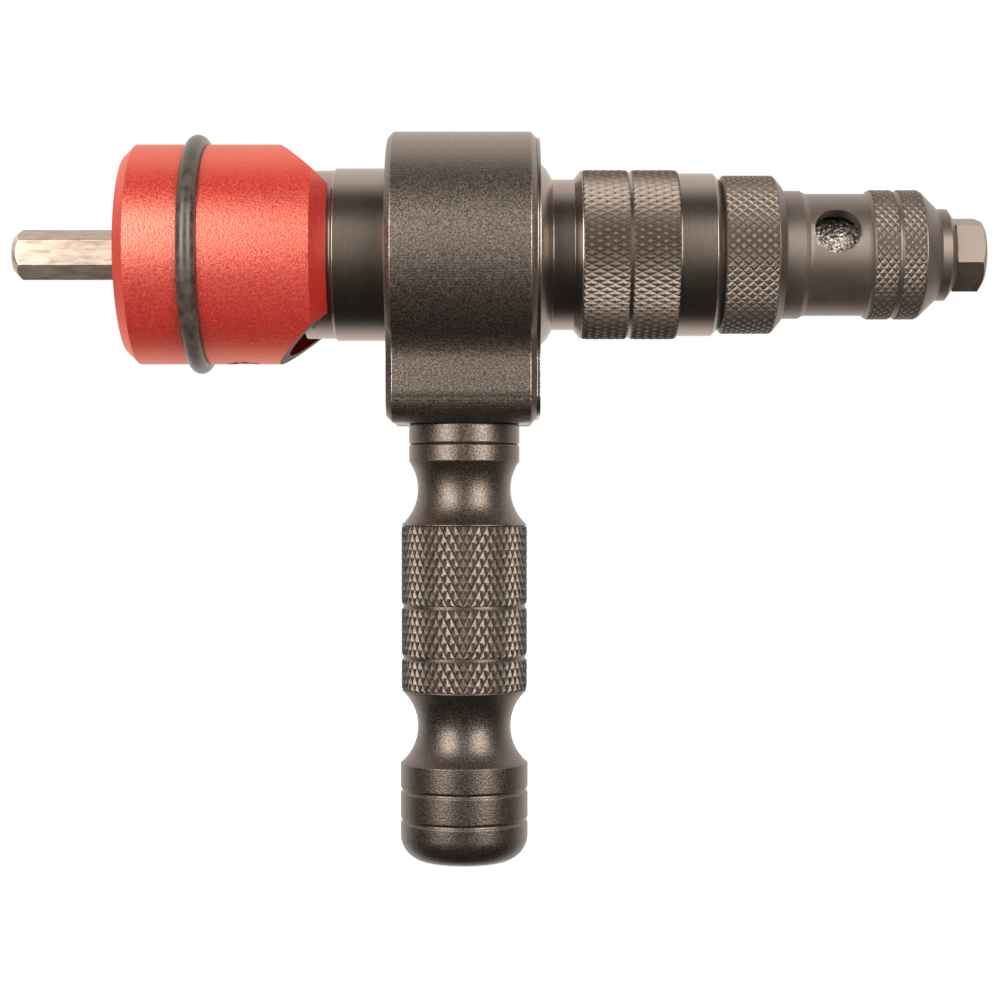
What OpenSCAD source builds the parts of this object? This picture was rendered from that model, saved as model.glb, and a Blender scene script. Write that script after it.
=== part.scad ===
// Rivet drill adapter.
// A drill turns the hexagonal shank. A nut in the spindle draws a threaded tube backwards,
// and split jaws in a coned case at the front of that tube pull the rivet's mandrel.
// The origin is the centre of the shank's free end. +X runs to the nose, and the handle hangs along -Z.

/* [Drive shank] */
// Width of the hexagonal shank across its flats
shank_af = 8; // [6:0.5:10]
// Length of shank that stands out of the drum
shank_len = 21; // [16:0.5:30]
// Chamfer at the shank's free end
shank_chamfer = 1.5; // [0.5:0.1:2]
// Radius of the shank's threaded root
shank_root_r = 6; // [5:0.5:8]
// Width of the lock nut on the root, across its flats
shank_nut_af = 18; // [15:0.5:22]
// Height of that lock nut
shank_nut_h = 5; // [3:0.5:6]

/* [Drum] */
// Outer radius of the drum
drum_r = 20; // [18:0.5:24]
// Length of the drum
drum_len = 37.1; // [34:0.1:45]
// Chamfer on the drum's rear edge
drum_chamfer = 2; // [0.5:0.1:3]
// Thickness of the drum's rear wall
drum_back_t = 6; // [4:0.5:8]
// Thickness of the drum's wall around the windows
drum_wall = 1.6; // [1.5:0.1:2.5]
// Length of the rim that is screwed on the spindle
drum_rim_len = 2.8; // [2:0.1:4]
// Length of the bevel at the drum's front end
drum_bevel_len = 2.6; // [1:0.1:4]
// Thickness of the rim's front edge
drum_edge_t = 0.6; // [0.4:0.1:1.2]
// Distance from the start of the windows to the drum's front end
window_len = 9.4; // [8:0.1:12]
// Slope of the windows to the axis, in degrees
window_slope = 42; // [30:1:45]
// Radius of the bar hole through the drum's wall
bar_hole_r = 3; // [2:0.5:4]
// Distance of the bar hole from the drum's rear face
bar_hole_x = 21.1; // [20.5:0.1:22]
// Section diameter of the rubber bumper ring
bumper_d = 3.5; // [2:0.1:4]
// Distance of the bumper ring from the drum's rear face
bumper_x = 13.1; // [9:0.1:14]
// Wall left under the bumper ring's groove
bumper_wall = 2.6; // [2:0.1:4]

/* [Spindle] */
// Radius of the spindle inside the drum's rim
spindle_rear_r = 15.3; // [14.5:0.1:16]
// Radius of the spindle between the drum and the collar
spindle_r = 15.7; // [15:0.1:17]
// Length of the spindle that goes into the drum
spindle_in_drum = 4.5; // [4:0.1:8]
// Length of the spindle that shows between the drum and the collar
spindle_show = 10.5; // [8:0.1:14]
// Depth of the spindle's shoulder inside the collar
spindle_in_collar = 2.1; // [1.5:0.1:3]
// Radius of the journal that carries the bearings
journal_r = 10; // [9.5:0.1:10.5]
// Corner radius of the hexagonal drive nut
nut_corner_r = 12; // [11:0.1:12.5]
// Length of the drive nut
nut_len = 12.5; // [10:0.5:13.5]
// Thickness of the retaining ring behind the drive nut
nut_ring_t = 1.2; // [0.8:0.1:1.6]

/* [Bearings] */
// Outer radius of the bearings
bearing_r = 15.5; // [15:0.1:16]
// Radius of the bearing balls
ball_r = 1.75; // [1.5:0.05:2]
// Thickness of each thrust washer
washer_t = 2.6; // [2:0.1:3]
// Number of balls in the thrust bearing
thrust_ball_count = 16; // [10:1:18]
// Number of balls in the radial bearing
radial_ball_count = 12; // [8:1:16]
// Width of the radial bearing
bearing_w = 7; // [6:0.5:8]

/* [Collar] */
// Radius of the collar's round top
collar_r = 22.3; // [21:0.1:26]
// Length of the collar along the barrel
collar_len = 26.9; // [26:0.1:32]
// Width of the collar's lower boss
boss_w = 28.4; // [26:0.2:34]
// Distance from the barrel's axis to the bottom of the boss
boss_drop = 31; // [29:0.5:36]
// Radius of the boss's lower corners
boss_corner_r = 5; // [3:0.5:7]
// Radius of the blend between the round top and the boss
boss_blend_r = 5; // [3:0.5:6]
// Chamfer on the collar's edges
collar_chamfer = 1.1; // [0.5:0.1:1.6]
// Thickness of the cover plate in front of the collar
plate_t = 0.6; // [0.5:0.1:1.5]

/* [Barrel] */
// Length of the barrel in front of the cover plate
barrel_len = 32.6; // [30:0.1:40]
// Radius of the barrel's knurled bands
barrel_knurl_r = 15.4; // [14.5:0.1:16]
// Radius of the barrel's neck
barrel_neck_r = 13.7; // [12.5:0.1:14]
// Radius of the barrel's smooth front
barrel_front_r = 14.8; // [14:0.1:15.2]
// Radius of the barrel's flange against the cover plate
barrel_flange_r = 16.8; // [16:0.1:18]
// Length of the barrel's neck, with its flange
barrel_neck_len = 7.5; // [6:0.1:10]
// Length of the barrel's smooth front
barrel_front_len = 7.6; // [5:0.1:9]
// Width of the guide slots inside the barrel
guide_slot_w = 4; // [3:0.1:5]

/* [Lock ring and nose] */
// Outer radius of the lock ring
lock_ring_r = 14.4; // [13.5:0.1:15]
// Length of the lock ring
lock_ring_len = 11.4; // [9:0.1:14]
// Radius of the nose housing's rear thread
nose_thread_r = 10.5; // [10.3:0.1:11]
// Radius of the nose housing
nose_r = 11.1; // [10.8:0.1:12]
// Radius of the nose housing's knurled bands
nose_knurl_r = 11.8; // [11.3:0.1:12.6]
// Length of the nose housing in front of the lock ring
nose_len = 31.4; // [30:0.1:34]
// Radius of the round inspection hole
port_r = 4.15; // [3:0.05:5]
// Distance of the inspection hole from the lock ring
port_x = 9.1; // [8.5:0.1:10]
// Angle of the inspection hole above the horizontal, in degrees
port_angle = 18; // [0:1:45]
// Width of the nosepiece across its flats
nosepiece_af = 12.2; // [11.5:0.1:14]
// Length of the nosepiece's hexagon
nosepiece_len = 5.5; // [4:0.1:8]
// Turn of the nosepiece's hexagon, in degrees
nosepiece_turn = 47; // [0:1:60]
// Radius of the hole for the rivet's mandrel
mandrel_r = 1.75; // [1.3:0.05:1.8]

/* [Draw tube and jaws] */
// Radius of the threaded draw tube
tube_r = 7; // [6.8:0.1:7.2]
// Radius of the hole through the draw tube
tube_bore_r = 3.2; // [2.5:0.1:3.6]
// Travel of the draw tube
stroke = 12; // [10:0.5:12]
// Radius of the guide pins
guide_pin_r = 1.9; // [1.4:0.1:1.9]
// Outer radius of the jaw case
case_r = 8.2; // [8:0.05:8.3]
// Length of the jaw case
case_len = 31; // [30:0.1:31]
// Half angle of the jaw case's cone, in degrees
jaw_cone = 12; // [10:1:13]
// Radius of the jaw case's mouth
case_mouth_r = 3.52; // [3.4:0.02:3.6]
// Length of the jaws
jaw_len = 13; // [11:0.5:13]
// Travel of the jaws along the axis as they close
jaw_travel = 3; // [2:0.5:3]
// Radius that the closed jaws leave between them
jaw_grip_r = 1.26; // [1:0.02:1.4]
// Width of the gaps between the closed jaws
jaw_gap = 0.8; // [0.4:0.1:1]
// Radius of the jaw spring's wire
spring_wire_r = 0.45; // [0.3:0.05:0.5]
// Number of turns in the jaw spring
spring_turns = 3; // [2:1:4]

/* [Handle] */
// Radius of the handle's ring and ferrule
ferrule_r = 10.1; // [9.5:0.1:11]
// Height of the handle's lock ring
handle_ring_h = 3.75; // [2:0.05:6]
// Length of the ferrule below the lock ring
ferrule_len = 3.05; // [2:0.05:6]
// Smallest radius of the handle's necks
neck_r = 8.48; // [7.5:0.1:9]
// Radius of the hollow curve of the necks
neck_curve_r = 8.7; // [6:0.1:10]
// Radius of the knurled grip
grip_r = 11.5; // [11:0.1:13]
// Length of the knurled grip
grip_len = 30.2; // [20:0.1:60]
// Radius of the handle's round end
pommel_r = 11.65; // [11:0.05:14]
// Length of the handle's round end
pommel_len = 17.85; // [14:0.1:30]
// Radius of the lower edge of the round end
pommel_edge_r = 4.8; // [2:0.1:6]
// Radius of the handle's stud
stud_r = 5; // [4:0.5:6]
// Length of the stud inside the handle
stud_in_grip = 20; // [15:1:30]

/* [Hidden] */
$fn = 96;

// Colours
steel_bright = [0.80, 0.76, 0.70];
steel_black = [0.30, 0.27, 0.25];
anodised_black = [0.20, 0.18, 0.17];
anodised_red = [0.80, 0.16, 0.15];
rubber_black = [0.16, 0.15, 0.14];
bronze = [0.72, 0.50, 0.28];
bearing_steel = [0.78, 0.79, 0.80];

// Clearances
seat_gap = 0.03;      // between a fixed piece and its seat
run_gap = 0.3;        // between a turning or sliding piece and its neighbour
jaw_case_gap = 0.06;  // between the closed jaws and the cone of their case
race_gap = 0.05;      // between the balls and their races
cut = 1;              // how far a cutting shape runs past the face that it opens

// Stations along the barrel
drum_x0 = shank_len;
drum_x1 = drum_x0 + drum_len;
spindle_x0 = drum_x1 - spindle_in_drum;
collar_x0 = drum_x1 + spindle_show;
collar_x1 = collar_x0 + collar_len;
plate_x1 = collar_x1 + plate_t;
barrel_x1 = plate_x1 + barrel_len;
nose_x0 = barrel_x1 + lock_ring_len;
nose_x1 = nose_x0 + nose_len;
nosepiece_x1 = nose_x1 + nosepiece_len;
handle_x = (collar_x0 + plate_x1) / 2;

// Drum
chamber_x0 = drum_x0 + drum_back_t;
chamber_r = drum_r - drum_wall;
chamber_step_x = drum_x0 + bumper_x + bumper_d;
chamber_rear_r = drum_r - bumper_d / 2 - bumper_wall;
chamber_x1 = drum_x1 - drum_rim_len;
window_x0 = drum_x1 - window_len;
shank_root_len = drum_back_t + shank_nut_h + 1;

// Spindle and its nut
shoulder_x = collar_x0 + spindle_in_collar;
spindle_step_x = drum_x1 + 0.7;
spindle_bevel = 0.4;
nut_ring_lip = 1.4;
nut_ring_x = spindle_x0 + nut_ring_lip;
nut_x0 = nut_ring_x + nut_ring_t;
nut_x1 = nut_x0 + nut_len;
nut_ring_hold = 1.15;
nut_ring_in = 2.5;
thread_r = tube_r + 0.05;
spindle_bore_r = tube_r + run_gap + 0.1;

// Bearings
ball_pitch_r = (journal_r + bearing_r) / 2;
groove_r = ball_r + race_gap;
groove_depth = 0.4;
washer_gap = 2 * (ball_r - groove_depth);
front_washer_x = shoulder_x + washer_t + washer_gap;
thrust_ball_x = front_washer_x - washer_gap / 2;
race_x0 = front_washer_x + washer_t;
race_x1 = race_x0 + bearing_w;
race_t = 1.6;
cage_t = 1.2;
cage_w = 4.4;
snap_t = 1.1;
snap_x = race_x1 + 0.2;
snap_depth = 0.8;
snap_stand = 1;
journal_x1 = snap_x + snap_t + 1.1;
bearing_bore_r = bearing_r + seat_gap;

// Barrel
barrel_bore_r = tube_r + run_gap;
barrel_rear_bore_r = journal_r + 2.5;
barrel_web_x = journal_x1 + 1.5;
thread_bore_r = nose_thread_r + seat_gap;
nose_in_barrel = 9.7;
barrel_socket_x = barrel_x1 - nose_in_barrel - 1;
knurl_x0 = plate_x1 + barrel_neck_len;
knurl_x1 = barrel_x1 - barrel_front_len;
knurl_mid_x = (knurl_x0 + knurl_x1) / 2;
flange_x1 = plate_x1 + 1.3;
neck_x0 = plate_x1 + 2.3;
neck_x1 = knurl_x0 - 1.3;
knurl_groove_w = 0.4;
knurl_groove_t = 0.3;
edge = 0.6;

// Draw tube, jaw case and jaws
case_x1 = nose_x1 - 9.5;
case_x0 = case_x1 - case_len;
case_bore_r = tube_r + 0.05;
cone_len = (case_bore_r - case_mouth_r) / tan(jaw_cone);
tube_x1 = case_x0 + 8;
tube_x0 = spindle_x0 + 2;
jaw_front_x = case_x1 - 0.5;
jaw_rear_x = jaw_front_x - jaw_len;
jaw_out = jaw_travel * tan(jaw_cone);
jaw_mouth_depth = 1.6;
pusher_front_x = jaw_rear_x - jaw_travel - 0.05;
pusher_flange_t = 1.5;
pusher_r = 6.2;
pusher_tail_r = 4.2;
guide_pin_back = 5;
guide_pin_out = 3.8;
guide_pin_x = barrel_socket_x - guide_pin_back;
guide_slot_x0 = guide_pin_x - stroke - guide_pin_r - 0.7;
guide_reach = tube_r + guide_pin_out;
guide_slot_r = guide_reach + 0.2;

// Nose
nose_bore_r = case_r + run_gap;
nose_wall_x = case_x1 + 1.8;
nosepiece_thread_r = 4.9;
spreader_r = 2.9;
spreader_x = jaw_front_x - jaw_travel - 0.05;
spreader_edge = 0.1;
nose_cone_len = 6.5;
nose_rim_r = 8.35;
nose_tip_r = 6.6;
nose_rim_len = 1.7;
nose_rim_chamfer = 1.3;
front_band_len = 4.1;
rear_band_len = 4.3;
band_gap = 0.7;
front_band_x1 = nose_x1 - nose_cone_len;
front_band_x0 = front_band_x1 - front_band_len;
rear_band_x1 = front_band_x0 - band_gap;
rear_band_x0 = rear_band_x1 - rear_band_len;
nose_collar_r = 11.65;
nose_collar_len = 3.3;

// Handle, measured down from the boss
ring_top = -boss_drop;
grip_top = ring_top - handle_ring_h;
ferrule_end = grip_top - ferrule_len;
neck_centre_r = neck_r + neck_curve_r;
function neck_reach(r) = sqrt(pow(neck_curve_r, 2) - pow(neck_centre_r - r, 2));
upper_neck_z = ferrule_end - neck_reach(ferrule_r);
knurl_top = upper_neck_z - neck_reach(grip_r);
knurl_end = knurl_top - grip_len;
lower_neck_z = knurl_end - neck_reach(grip_r);
pommel_top = lower_neck_z - neck_reach(pommel_r);
grip_end = pommel_top - pommel_len;
stud_in_collar = 10.5;
grip_groove_parts = [0.49, 0.8];
pommel_groove_parts = [0.27, 0.58];

// A solid turned about the barrel's axis, from points [radius, distance along X]
module turned(points) {
    rotate([0, 90, 0]) rotate_extrude() polygon(points);
}

// A plain ring about the barrel's axis
module ring(x0, x1, inner_r, outer_r) {
    turned([[inner_r, x0], [outer_r, x0], [outer_r, x1], [inner_r, x1]]);
}

// A ring of round section about the barrel's axis
module hoop(x, r, section_r) {
    translate([x, 0, 0]) rotate([0, 90, 0]) rotate_extrude()
        translate([r, 0]) circle(r = section_r);
}

// A rod along the barrel's axis
module rod(x0, x1, r) {
    translate([x0, 0, 0]) rotate([0, 90, 0]) cylinder(r = r, h = x1 - x0);
}

// A hexagonal bar along the barrel's axis, with two of its flats upright
module hex_bar(x0, x1, af, turn = 0) {
    translate([x0, 0, 0]) rotate([turn, 0, 0]) rotate([0, 90, 0])
        cylinder(r = af / 2 / cos(30), h = x1 - x0, $fn = 6);
}

// Copies of the children set round the barrel's axis
module around(count) {
    for (i = [0:count - 1]) rotate([360 * i / count, 0, 0]) children();
}

// Points along an arc, both ends included
function arc(centre, r, from, to, steps) =
    [for (i = [0:steps]) centre + r * [cos(from + (to - from) * i / steps),
                                       sin(from + (to - from) * i / steps)]];

// Outline of the collar seen along the barrel, with Y to the right and Z up
module collar_outline(inset) {
    top_r = collar_r - inset;
    half_w = boss_w / 2 - inset;
    blend_r = boss_blend_r + inset;
    corner_r = boss_corner_r - inset;
    low = boss_drop - inset;
    across = half_w + blend_r;
    down = sqrt(pow(top_r + blend_r, 2) - pow(across, 2));
    tangent = atan2(down, across);
    half = concat([[0, top_r]], arc([0, 0], top_r, 88, 2 - tangent, 40),
                  arc([across, -down], blend_r, 180 - tangent, 180, 8),
                  arc([half_w - corner_r, corner_r - low], corner_r, 0, -90, 10));
    polygon(concat(half, [for (i = [len(half) - 1:-1:1]) [-half[i].x, half[i].y]]));
}

module hex_shank() {
    corner_r = shank_af / 2 / cos(30);
    color(steel_bright) {
        intersection() {
            hex_bar(0, shank_len + cut, shank_af);
            turned([[0, 0], [corner_r - shank_chamfer, 0], [corner_r + cut, shank_chamfer + cut],
                    [corner_r + cut, shank_len + cut], [0, shank_len + cut]]);
        }
        rod(shank_len, shank_len + shank_root_len, shank_root_r);
    }
}

module shank_lock_nut() {
    color(steel_bright) difference() {
        hex_bar(chamber_x0, chamber_x0 + shank_nut_h, shank_nut_af);
        rod(chamber_x0 - cut, chamber_x0 + shank_nut_h + cut, shank_root_r + seat_gap);
    }
}

// The part of the drum above one sloped window
module window_cut() {
    reach = window_len + cut;
    drop = reach * tan(window_slope);
    translate([0, drum_r + cut, 0]) rotate([90, 0, 0]) linear_extrude(2 * (drum_r + cut))
        polygon([[window_x0, drum_r], [window_x0 + reach, drum_r - drop],
                 [window_x0 + reach, drum_r + cut], [window_x0, drum_r + cut]]);
}

module drum() {
    rim_r = spindle_rear_r + seat_gap;
    color(anodised_red) difference() {
        turned([[shank_root_r + seat_gap, drum_x0], [drum_r - drum_chamfer, drum_x0],
                [drum_r, drum_x0 + drum_chamfer], [drum_r, drum_x1 - drum_bevel_len],
                [rim_r + drum_edge_t, drum_x1], [rim_r, drum_x1], [rim_r, chamber_x1],
                [chamber_r, chamber_x1], [chamber_r, chamber_step_x + chamber_r - chamber_rear_r],
                [chamber_rear_r, chamber_step_x], [chamber_rear_r, chamber_x0],
                [shank_root_r + seat_gap, chamber_x0]]);
        hoop(drum_x0 + bumper_x, drum_r, bumper_d / 2 + seat_gap);
        translate([drum_x0 + bar_hole_x, 0, -drum_r - cut])
            cylinder(r = bar_hole_r, h = 2 * (drum_r + cut));
        window_cut();
        mirror([0, 0, 1]) window_cut();
    }
}

module bumper_ring() {
    color(rubber_black) hoop(drum_x0 + bumper_x, drum_r, bumper_d / 2);
}

module spindle() {
    mouth_r = nut_corner_r + run_gap;
    hold_r = nut_corner_r + nut_ring_hold + seat_gap;
    color(steel_black) difference() {
        turned([[mouth_r, spindle_x0], [spindle_rear_r, spindle_x0],
                [spindle_rear_r, spindle_step_x], [spindle_r, spindle_step_x + spindle_bevel],
                [spindle_r, shoulder_x], [journal_r, shoulder_x], [journal_r, snap_x - seat_gap],
                [journal_r - snap_depth, snap_x - seat_gap],
                [journal_r - snap_depth, snap_x + snap_t + seat_gap],
                [journal_r, snap_x + snap_t + seat_gap], [journal_r, journal_x1],
                [spindle_bore_r, journal_x1], [spindle_bore_r, nut_x0], [hold_r, nut_x0],
                [hold_r, nut_ring_x], [mouth_r, nut_ring_x]]);
        translate([nut_x0 - cut, 0, 0]) rotate([0, 90, 0])
            cylinder(r = nut_corner_r + seat_gap, h = nut_len + cut, $fn = 6);
    }
}

module drive_nut() {
    color(bronze) difference() {
        translate([nut_x0, 0, 0]) rotate([0, 90, 0]) cylinder(r = nut_corner_r, h = nut_len, $fn = 6);
        rod(nut_x0 - cut, nut_x1 + cut, thread_r);
    }
}

module nut_retaining_ring() {
    color(bearing_steel)
        ring(nut_ring_x, nut_x0, nut_corner_r - nut_ring_in, nut_corner_r + nut_ring_hold);
}

module rear_thrust_washer() {
    color(bearing_steel) difference() {
        ring(shoulder_x, shoulder_x + washer_t, journal_r + seat_gap, bearing_r - run_gap);
        hoop(thrust_ball_x, ball_pitch_r, groove_r);
    }
}

module thrust_balls() {
    color(bearing_steel) around(thrust_ball_count)
        translate([thrust_ball_x, 0, ball_pitch_r]) sphere(r = ball_r, $fn = 24);
}

module thrust_cage() {
    color(bronze) difference() {
        ring(thrust_ball_x - cage_t / 2, thrust_ball_x + cage_t / 2,
             ball_pitch_r - cage_w / 2, ball_pitch_r + cage_w / 2);
        around(thrust_ball_count) translate([thrust_ball_x - cage_t, 0, ball_pitch_r])
            rotate([0, 90, 0]) cylinder(r = groove_r, h = 2 * cage_t);
    }
}

module front_thrust_washer() {
    color(bearing_steel) difference() {
        ring(front_washer_x, front_washer_x + washer_t, journal_r + run_gap, bearing_r);
        hoop(thrust_ball_x, ball_pitch_r, groove_r);
    }
}

module bearing_inner_race() {
    color(bearing_steel) difference() {
        ring(race_x0 + run_gap, race_x1, journal_r + seat_gap, journal_r + race_t);
        hoop(race_x0 + bearing_w / 2, ball_pitch_r, groove_r);
    }
}

module bearing_balls() {
    color(bearing_steel) around(radial_ball_count)
        translate([race_x0 + bearing_w / 2, 0, ball_pitch_r]) sphere(r = ball_r, $fn = 24);
}

module bearing_outer_race() {
    color(bearing_steel) difference() {
        ring(race_x0, race_x1, bearing_r - race_t, bearing_r);
        hoop(race_x0 + bearing_w / 2, ball_pitch_r, groove_r);
    }
}

module spindle_snap_ring() {
    color(bearing_steel) ring(snap_x, snap_x + snap_t, journal_r - snap_depth + seat_gap,
                              journal_r + snap_stand);
}

// A cylinder along the barrel, from one face of the collar to the other, with chamfered ends
module chamfered_rod(r) {
    c = collar_chamfer;
    turned([[0, collar_x0], [r - c, collar_x0], [r, collar_x0 + c], [r, collar_x1 - c],
            [r - c, collar_x1], [0, collar_x1]]);
}

// A rectangle [from collar_x0 to collar_x1, from low to high], chamfered where asked
module chamfered_side(low, high, both) {
    c = collar_chamfer;
    up = both ? c : 0;
    polygon([[collar_x0 + c, low], [collar_x1 - c, low], [collar_x1, low + c],
             [collar_x1, high - up], [collar_x1 - up, high], [collar_x0 + up, high],
             [collar_x0, high - up], [collar_x0, low + c]]);
}

// The hollow blend between the collar's round top and one side of its boss
module collar_blend(side) {
    across = boss_w / 2 + boss_blend_r;
    down = sqrt(pow(collar_r + boss_blend_r, 2) - pow(across, 2));
    wide_r = boss_blend_r + collar_chamfer + cut;
    difference() {
        translate([collar_x0, 0, 0]) rotate([90, 0, 90]) linear_extrude(collar_len)
            polygon([[0, 0], [side * across, -down], [0, -down]]);
        translate([0, side * across, -down])
            turned([[0, collar_x0 - cut], [wide_r, collar_x0 - cut],
                    [boss_blend_r, collar_x0 + collar_chamfer],
                    [boss_blend_r, collar_x1 - collar_chamfer],
                    [wide_r, collar_x1 + cut], [0, collar_x1 + cut]]);
    }
}

// The collar's block, chamfered all round both ends
module collar_block() {
    half_w = boss_w / 2;
    corner_y = half_w - boss_corner_r;
    corner_z = boss_corner_r - boss_drop;
    chamfered_rod(collar_r);
    translate([0, 0, corner_z]) linear_extrude(-corner_z) chamfered_side(-half_w, half_w, true);
    rotate([90, 0, 0]) linear_extrude(2 * corner_y, center = true)
        chamfered_side(-boss_drop, 0, false);
    for (side = [-1, 1]) {
        translate([0, side * corner_y, corner_z]) chamfered_rod(boss_corner_r);
        collar_blend(side);
    }
}

module collar() {
    color(anodised_black) difference() {
        collar_block();
        rod(collar_x0 - cut, collar_x1 + cut, bearing_bore_r);
        rod(collar_x0 - cut, shoulder_x + run_gap, spindle_r + run_gap);
        translate([handle_x, 0, -boss_drop - cut])
            cylinder(r = stud_r + seat_gap, h = stud_in_collar + cut);
    }
}

module cover_plate() {
    color(steel_black) difference() {
        rotate([90, 0, 90]) translate([0, 0, collar_x1])
            linear_extrude(plate_t) collar_outline(collar_chamfer);
        rod(collar_x1 - cut, plate_x1 + cut, bearing_bore_r);
    }
}

module handle_lock_ring() {
    soft = 0.3;
    color(anodised_black) translate([handle_x, 0, grip_top]) rotate_extrude()
        polygon([[stud_r + seat_gap, 0], [ferrule_r - soft, 0], [ferrule_r, soft],
                 [ferrule_r, handle_ring_h - soft], [ferrule_r - soft, handle_ring_h],
                 [stud_r + seat_gap, handle_ring_h]]);
}

module handle_stud() {
    color(steel_bright) translate([handle_x, 0, grip_top - stud_in_grip])
        cylinder(r = stud_r, h = stud_in_grip + handle_ring_h + stud_in_collar - cut);
}

// A groove of triangular section round the handle
module handle_groove(z, r, depth, width) {
    translate([0, 0, z]) rotate_extrude()
        polygon([[r + depth, -width], [r - depth, 0], [r + depth, width]]);
}

module handle_grip() {
    soft = 0.3;
    flat_r = pommel_r - pommel_edge_r;
    edge_z = grip_end + pommel_edge_r;
    color(anodised_black) translate([handle_x, 0, 0]) difference() {
        union() {
            rotate_extrude()
                polygon([[0, upper_neck_z], [ferrule_r, upper_neck_z], [ferrule_r, grip_top - soft],
                         [ferrule_r - soft, grip_top], [0, grip_top]]);
            translate([0, 0, lower_neck_z]) cylinder(r = grip_r, h = upper_neck_z + cut - lower_neck_z);
            translate([0, 0, edge_z]) cylinder(r = pommel_r, h = lower_neck_z + cut - edge_z);
            translate([0, 0, grip_end]) cylinder(r = flat_r, h = pommel_edge_r);
            translate([0, 0, edge_z]) rotate_extrude() translate([flat_r, 0])
                circle(r = pommel_edge_r);
        }
        for (z = [upper_neck_z, lower_neck_z]) translate([0, 0, z]) rotate_extrude()
            translate([neck_centre_r, 0]) circle(r = neck_curve_r);
        for (part = grip_groove_parts) handle_groove(knurl_top - part * grip_len, grip_r, 0.4, 0.8);
        for (part = pommel_groove_parts)
            handle_groove(pommel_top - part * pommel_len, pommel_r, 0.3, 0.6);
        translate([0, 0, grip_top - stud_in_grip - 1])
            cylinder(r = stud_r + seat_gap, h = stud_in_grip + 1 + cut);
    }
}

module barrel() {
    color(steel_black) difference() {
        turned([[barrel_rear_bore_r, race_x1], [bearing_r, race_x1], [bearing_r, plate_x1],
                [barrel_flange_r, plate_x1], [barrel_knurl_r, flange_x1],
                [barrel_neck_r, neck_x0], [barrel_neck_r, neck_x1],
                [barrel_knurl_r, knurl_x0], [barrel_knurl_r, knurl_mid_x - knurl_groove_w],
                [barrel_knurl_r - knurl_groove_t, knurl_mid_x - knurl_groove_w / 2],
                [barrel_knurl_r - knurl_groove_t, knurl_mid_x + knurl_groove_w / 2],
                [barrel_knurl_r, knurl_mid_x + knurl_groove_w], [barrel_knurl_r, knurl_x1 - edge],
                [barrel_front_r, knurl_x1], [barrel_front_r, barrel_x1 - 2 * edge],
                [barrel_front_r - 2 * edge, barrel_x1], [thread_bore_r, barrel_x1],
                [thread_bore_r, barrel_socket_x], [barrel_bore_r, barrel_socket_x],
                [barrel_bore_r, barrel_web_x], [barrel_rear_bore_r, barrel_web_x]]);
        translate([guide_slot_x0, -guide_slot_r, -guide_slot_w / 2])
            cube([barrel_socket_x + cut - guide_slot_x0, 2 * guide_slot_r, guide_slot_w]);
    }
}

module lock_ring() {
    front_chamfer = 1.7;
    color(steel_black)
        turned([[thread_bore_r, barrel_x1], [lock_ring_r - 2 * edge, barrel_x1],
                [lock_ring_r, barrel_x1 + edge], [lock_ring_r, nose_x0 - front_chamfer],
                [nose_collar_r + edge, nose_x0], [thread_bore_r, nose_x0]]);
}

module nose_housing() {
    wall_r = nosepiece_thread_r + seat_gap;
    color(steel_black) difference() {
        turned([[nose_bore_r, barrel_x1 - nose_in_barrel], [nose_thread_r, barrel_x1 - nose_in_barrel],
                [nose_thread_r, nose_x0], [nose_collar_r, nose_x0],
                [nose_collar_r, nose_x0 + nose_collar_len], [nose_r, nose_x0 + nose_collar_len + 1],
                [nose_r, rear_band_x0 - 0.5], [nose_knurl_r, rear_band_x0],
                [nose_knurl_r, rear_band_x1], [nose_knurl_r - 0.4, rear_band_x1 + 0.3],
                [nose_knurl_r - 0.4, front_band_x0 - 0.3], [nose_knurl_r, front_band_x0],
                [nose_knurl_r, front_band_x1],
                [nose_rim_r, nose_x1 - nose_rim_len - nose_rim_chamfer],
                [nose_rim_r, nose_x1 - nose_rim_chamfer], [nose_tip_r, nose_x1],
                [wall_r, nose_x1], [wall_r, nose_wall_x], [nose_bore_r, nose_wall_x]]);
        translate([nose_x0 + port_x, 0, 0]) rotate([90 - port_angle, 0, 0])
            cylinder(r = port_r, h = nose_knurl_r + cut);
    }
}

module nosepiece() {
    corner_r = nosepiece_af / 2 / cos(30);
    chamfer_len = 1;
    chamfer_slope = 1.6;
    wide_r = corner_r + chamfer_slope * cut;
    tail_x1 = nose_wall_x + 0.8;
    color(steel_black) difference() {
        union() {
            intersection() {
                hex_bar(nose_x1, nosepiece_x1, nosepiece_af, nosepiece_turn);
                turned([[0, nose_x1 - cut], [wide_r, nose_x1 - cut],
                        [wide_r, nosepiece_x1 - chamfer_len - cut],
                        [corner_r - chamfer_slope * chamfer_len, nosepiece_x1], [0, nosepiece_x1]]);
            }
            turned([[0, spreader_x - spreader_r + mandrel_r + spreader_edge],
                    [mandrel_r + spreader_edge, spreader_x - spreader_r + mandrel_r + spreader_edge],
                    [spreader_r, spreader_x], [spreader_r, tail_x1],
                    [nosepiece_thread_r, tail_x1 + nosepiece_thread_r - spreader_r],
                    [nosepiece_thread_r, nose_x1 + cut], [0, nose_x1 + cut]]);
        }
        rod(spreader_x - spreader_r - cut, nosepiece_x1 + cut, mandrel_r);
    }
}

module draw_tube() {
    color(steel_bright) difference() {
        ring(tube_x0, tube_x1, tube_bore_r, tube_r);
        translate([guide_pin_x, -guide_reach, 0]) rotate([-90, 0, 0])
            cylinder(r = guide_pin_r + seat_gap, h = 2 * guide_reach);
    }
}

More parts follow.
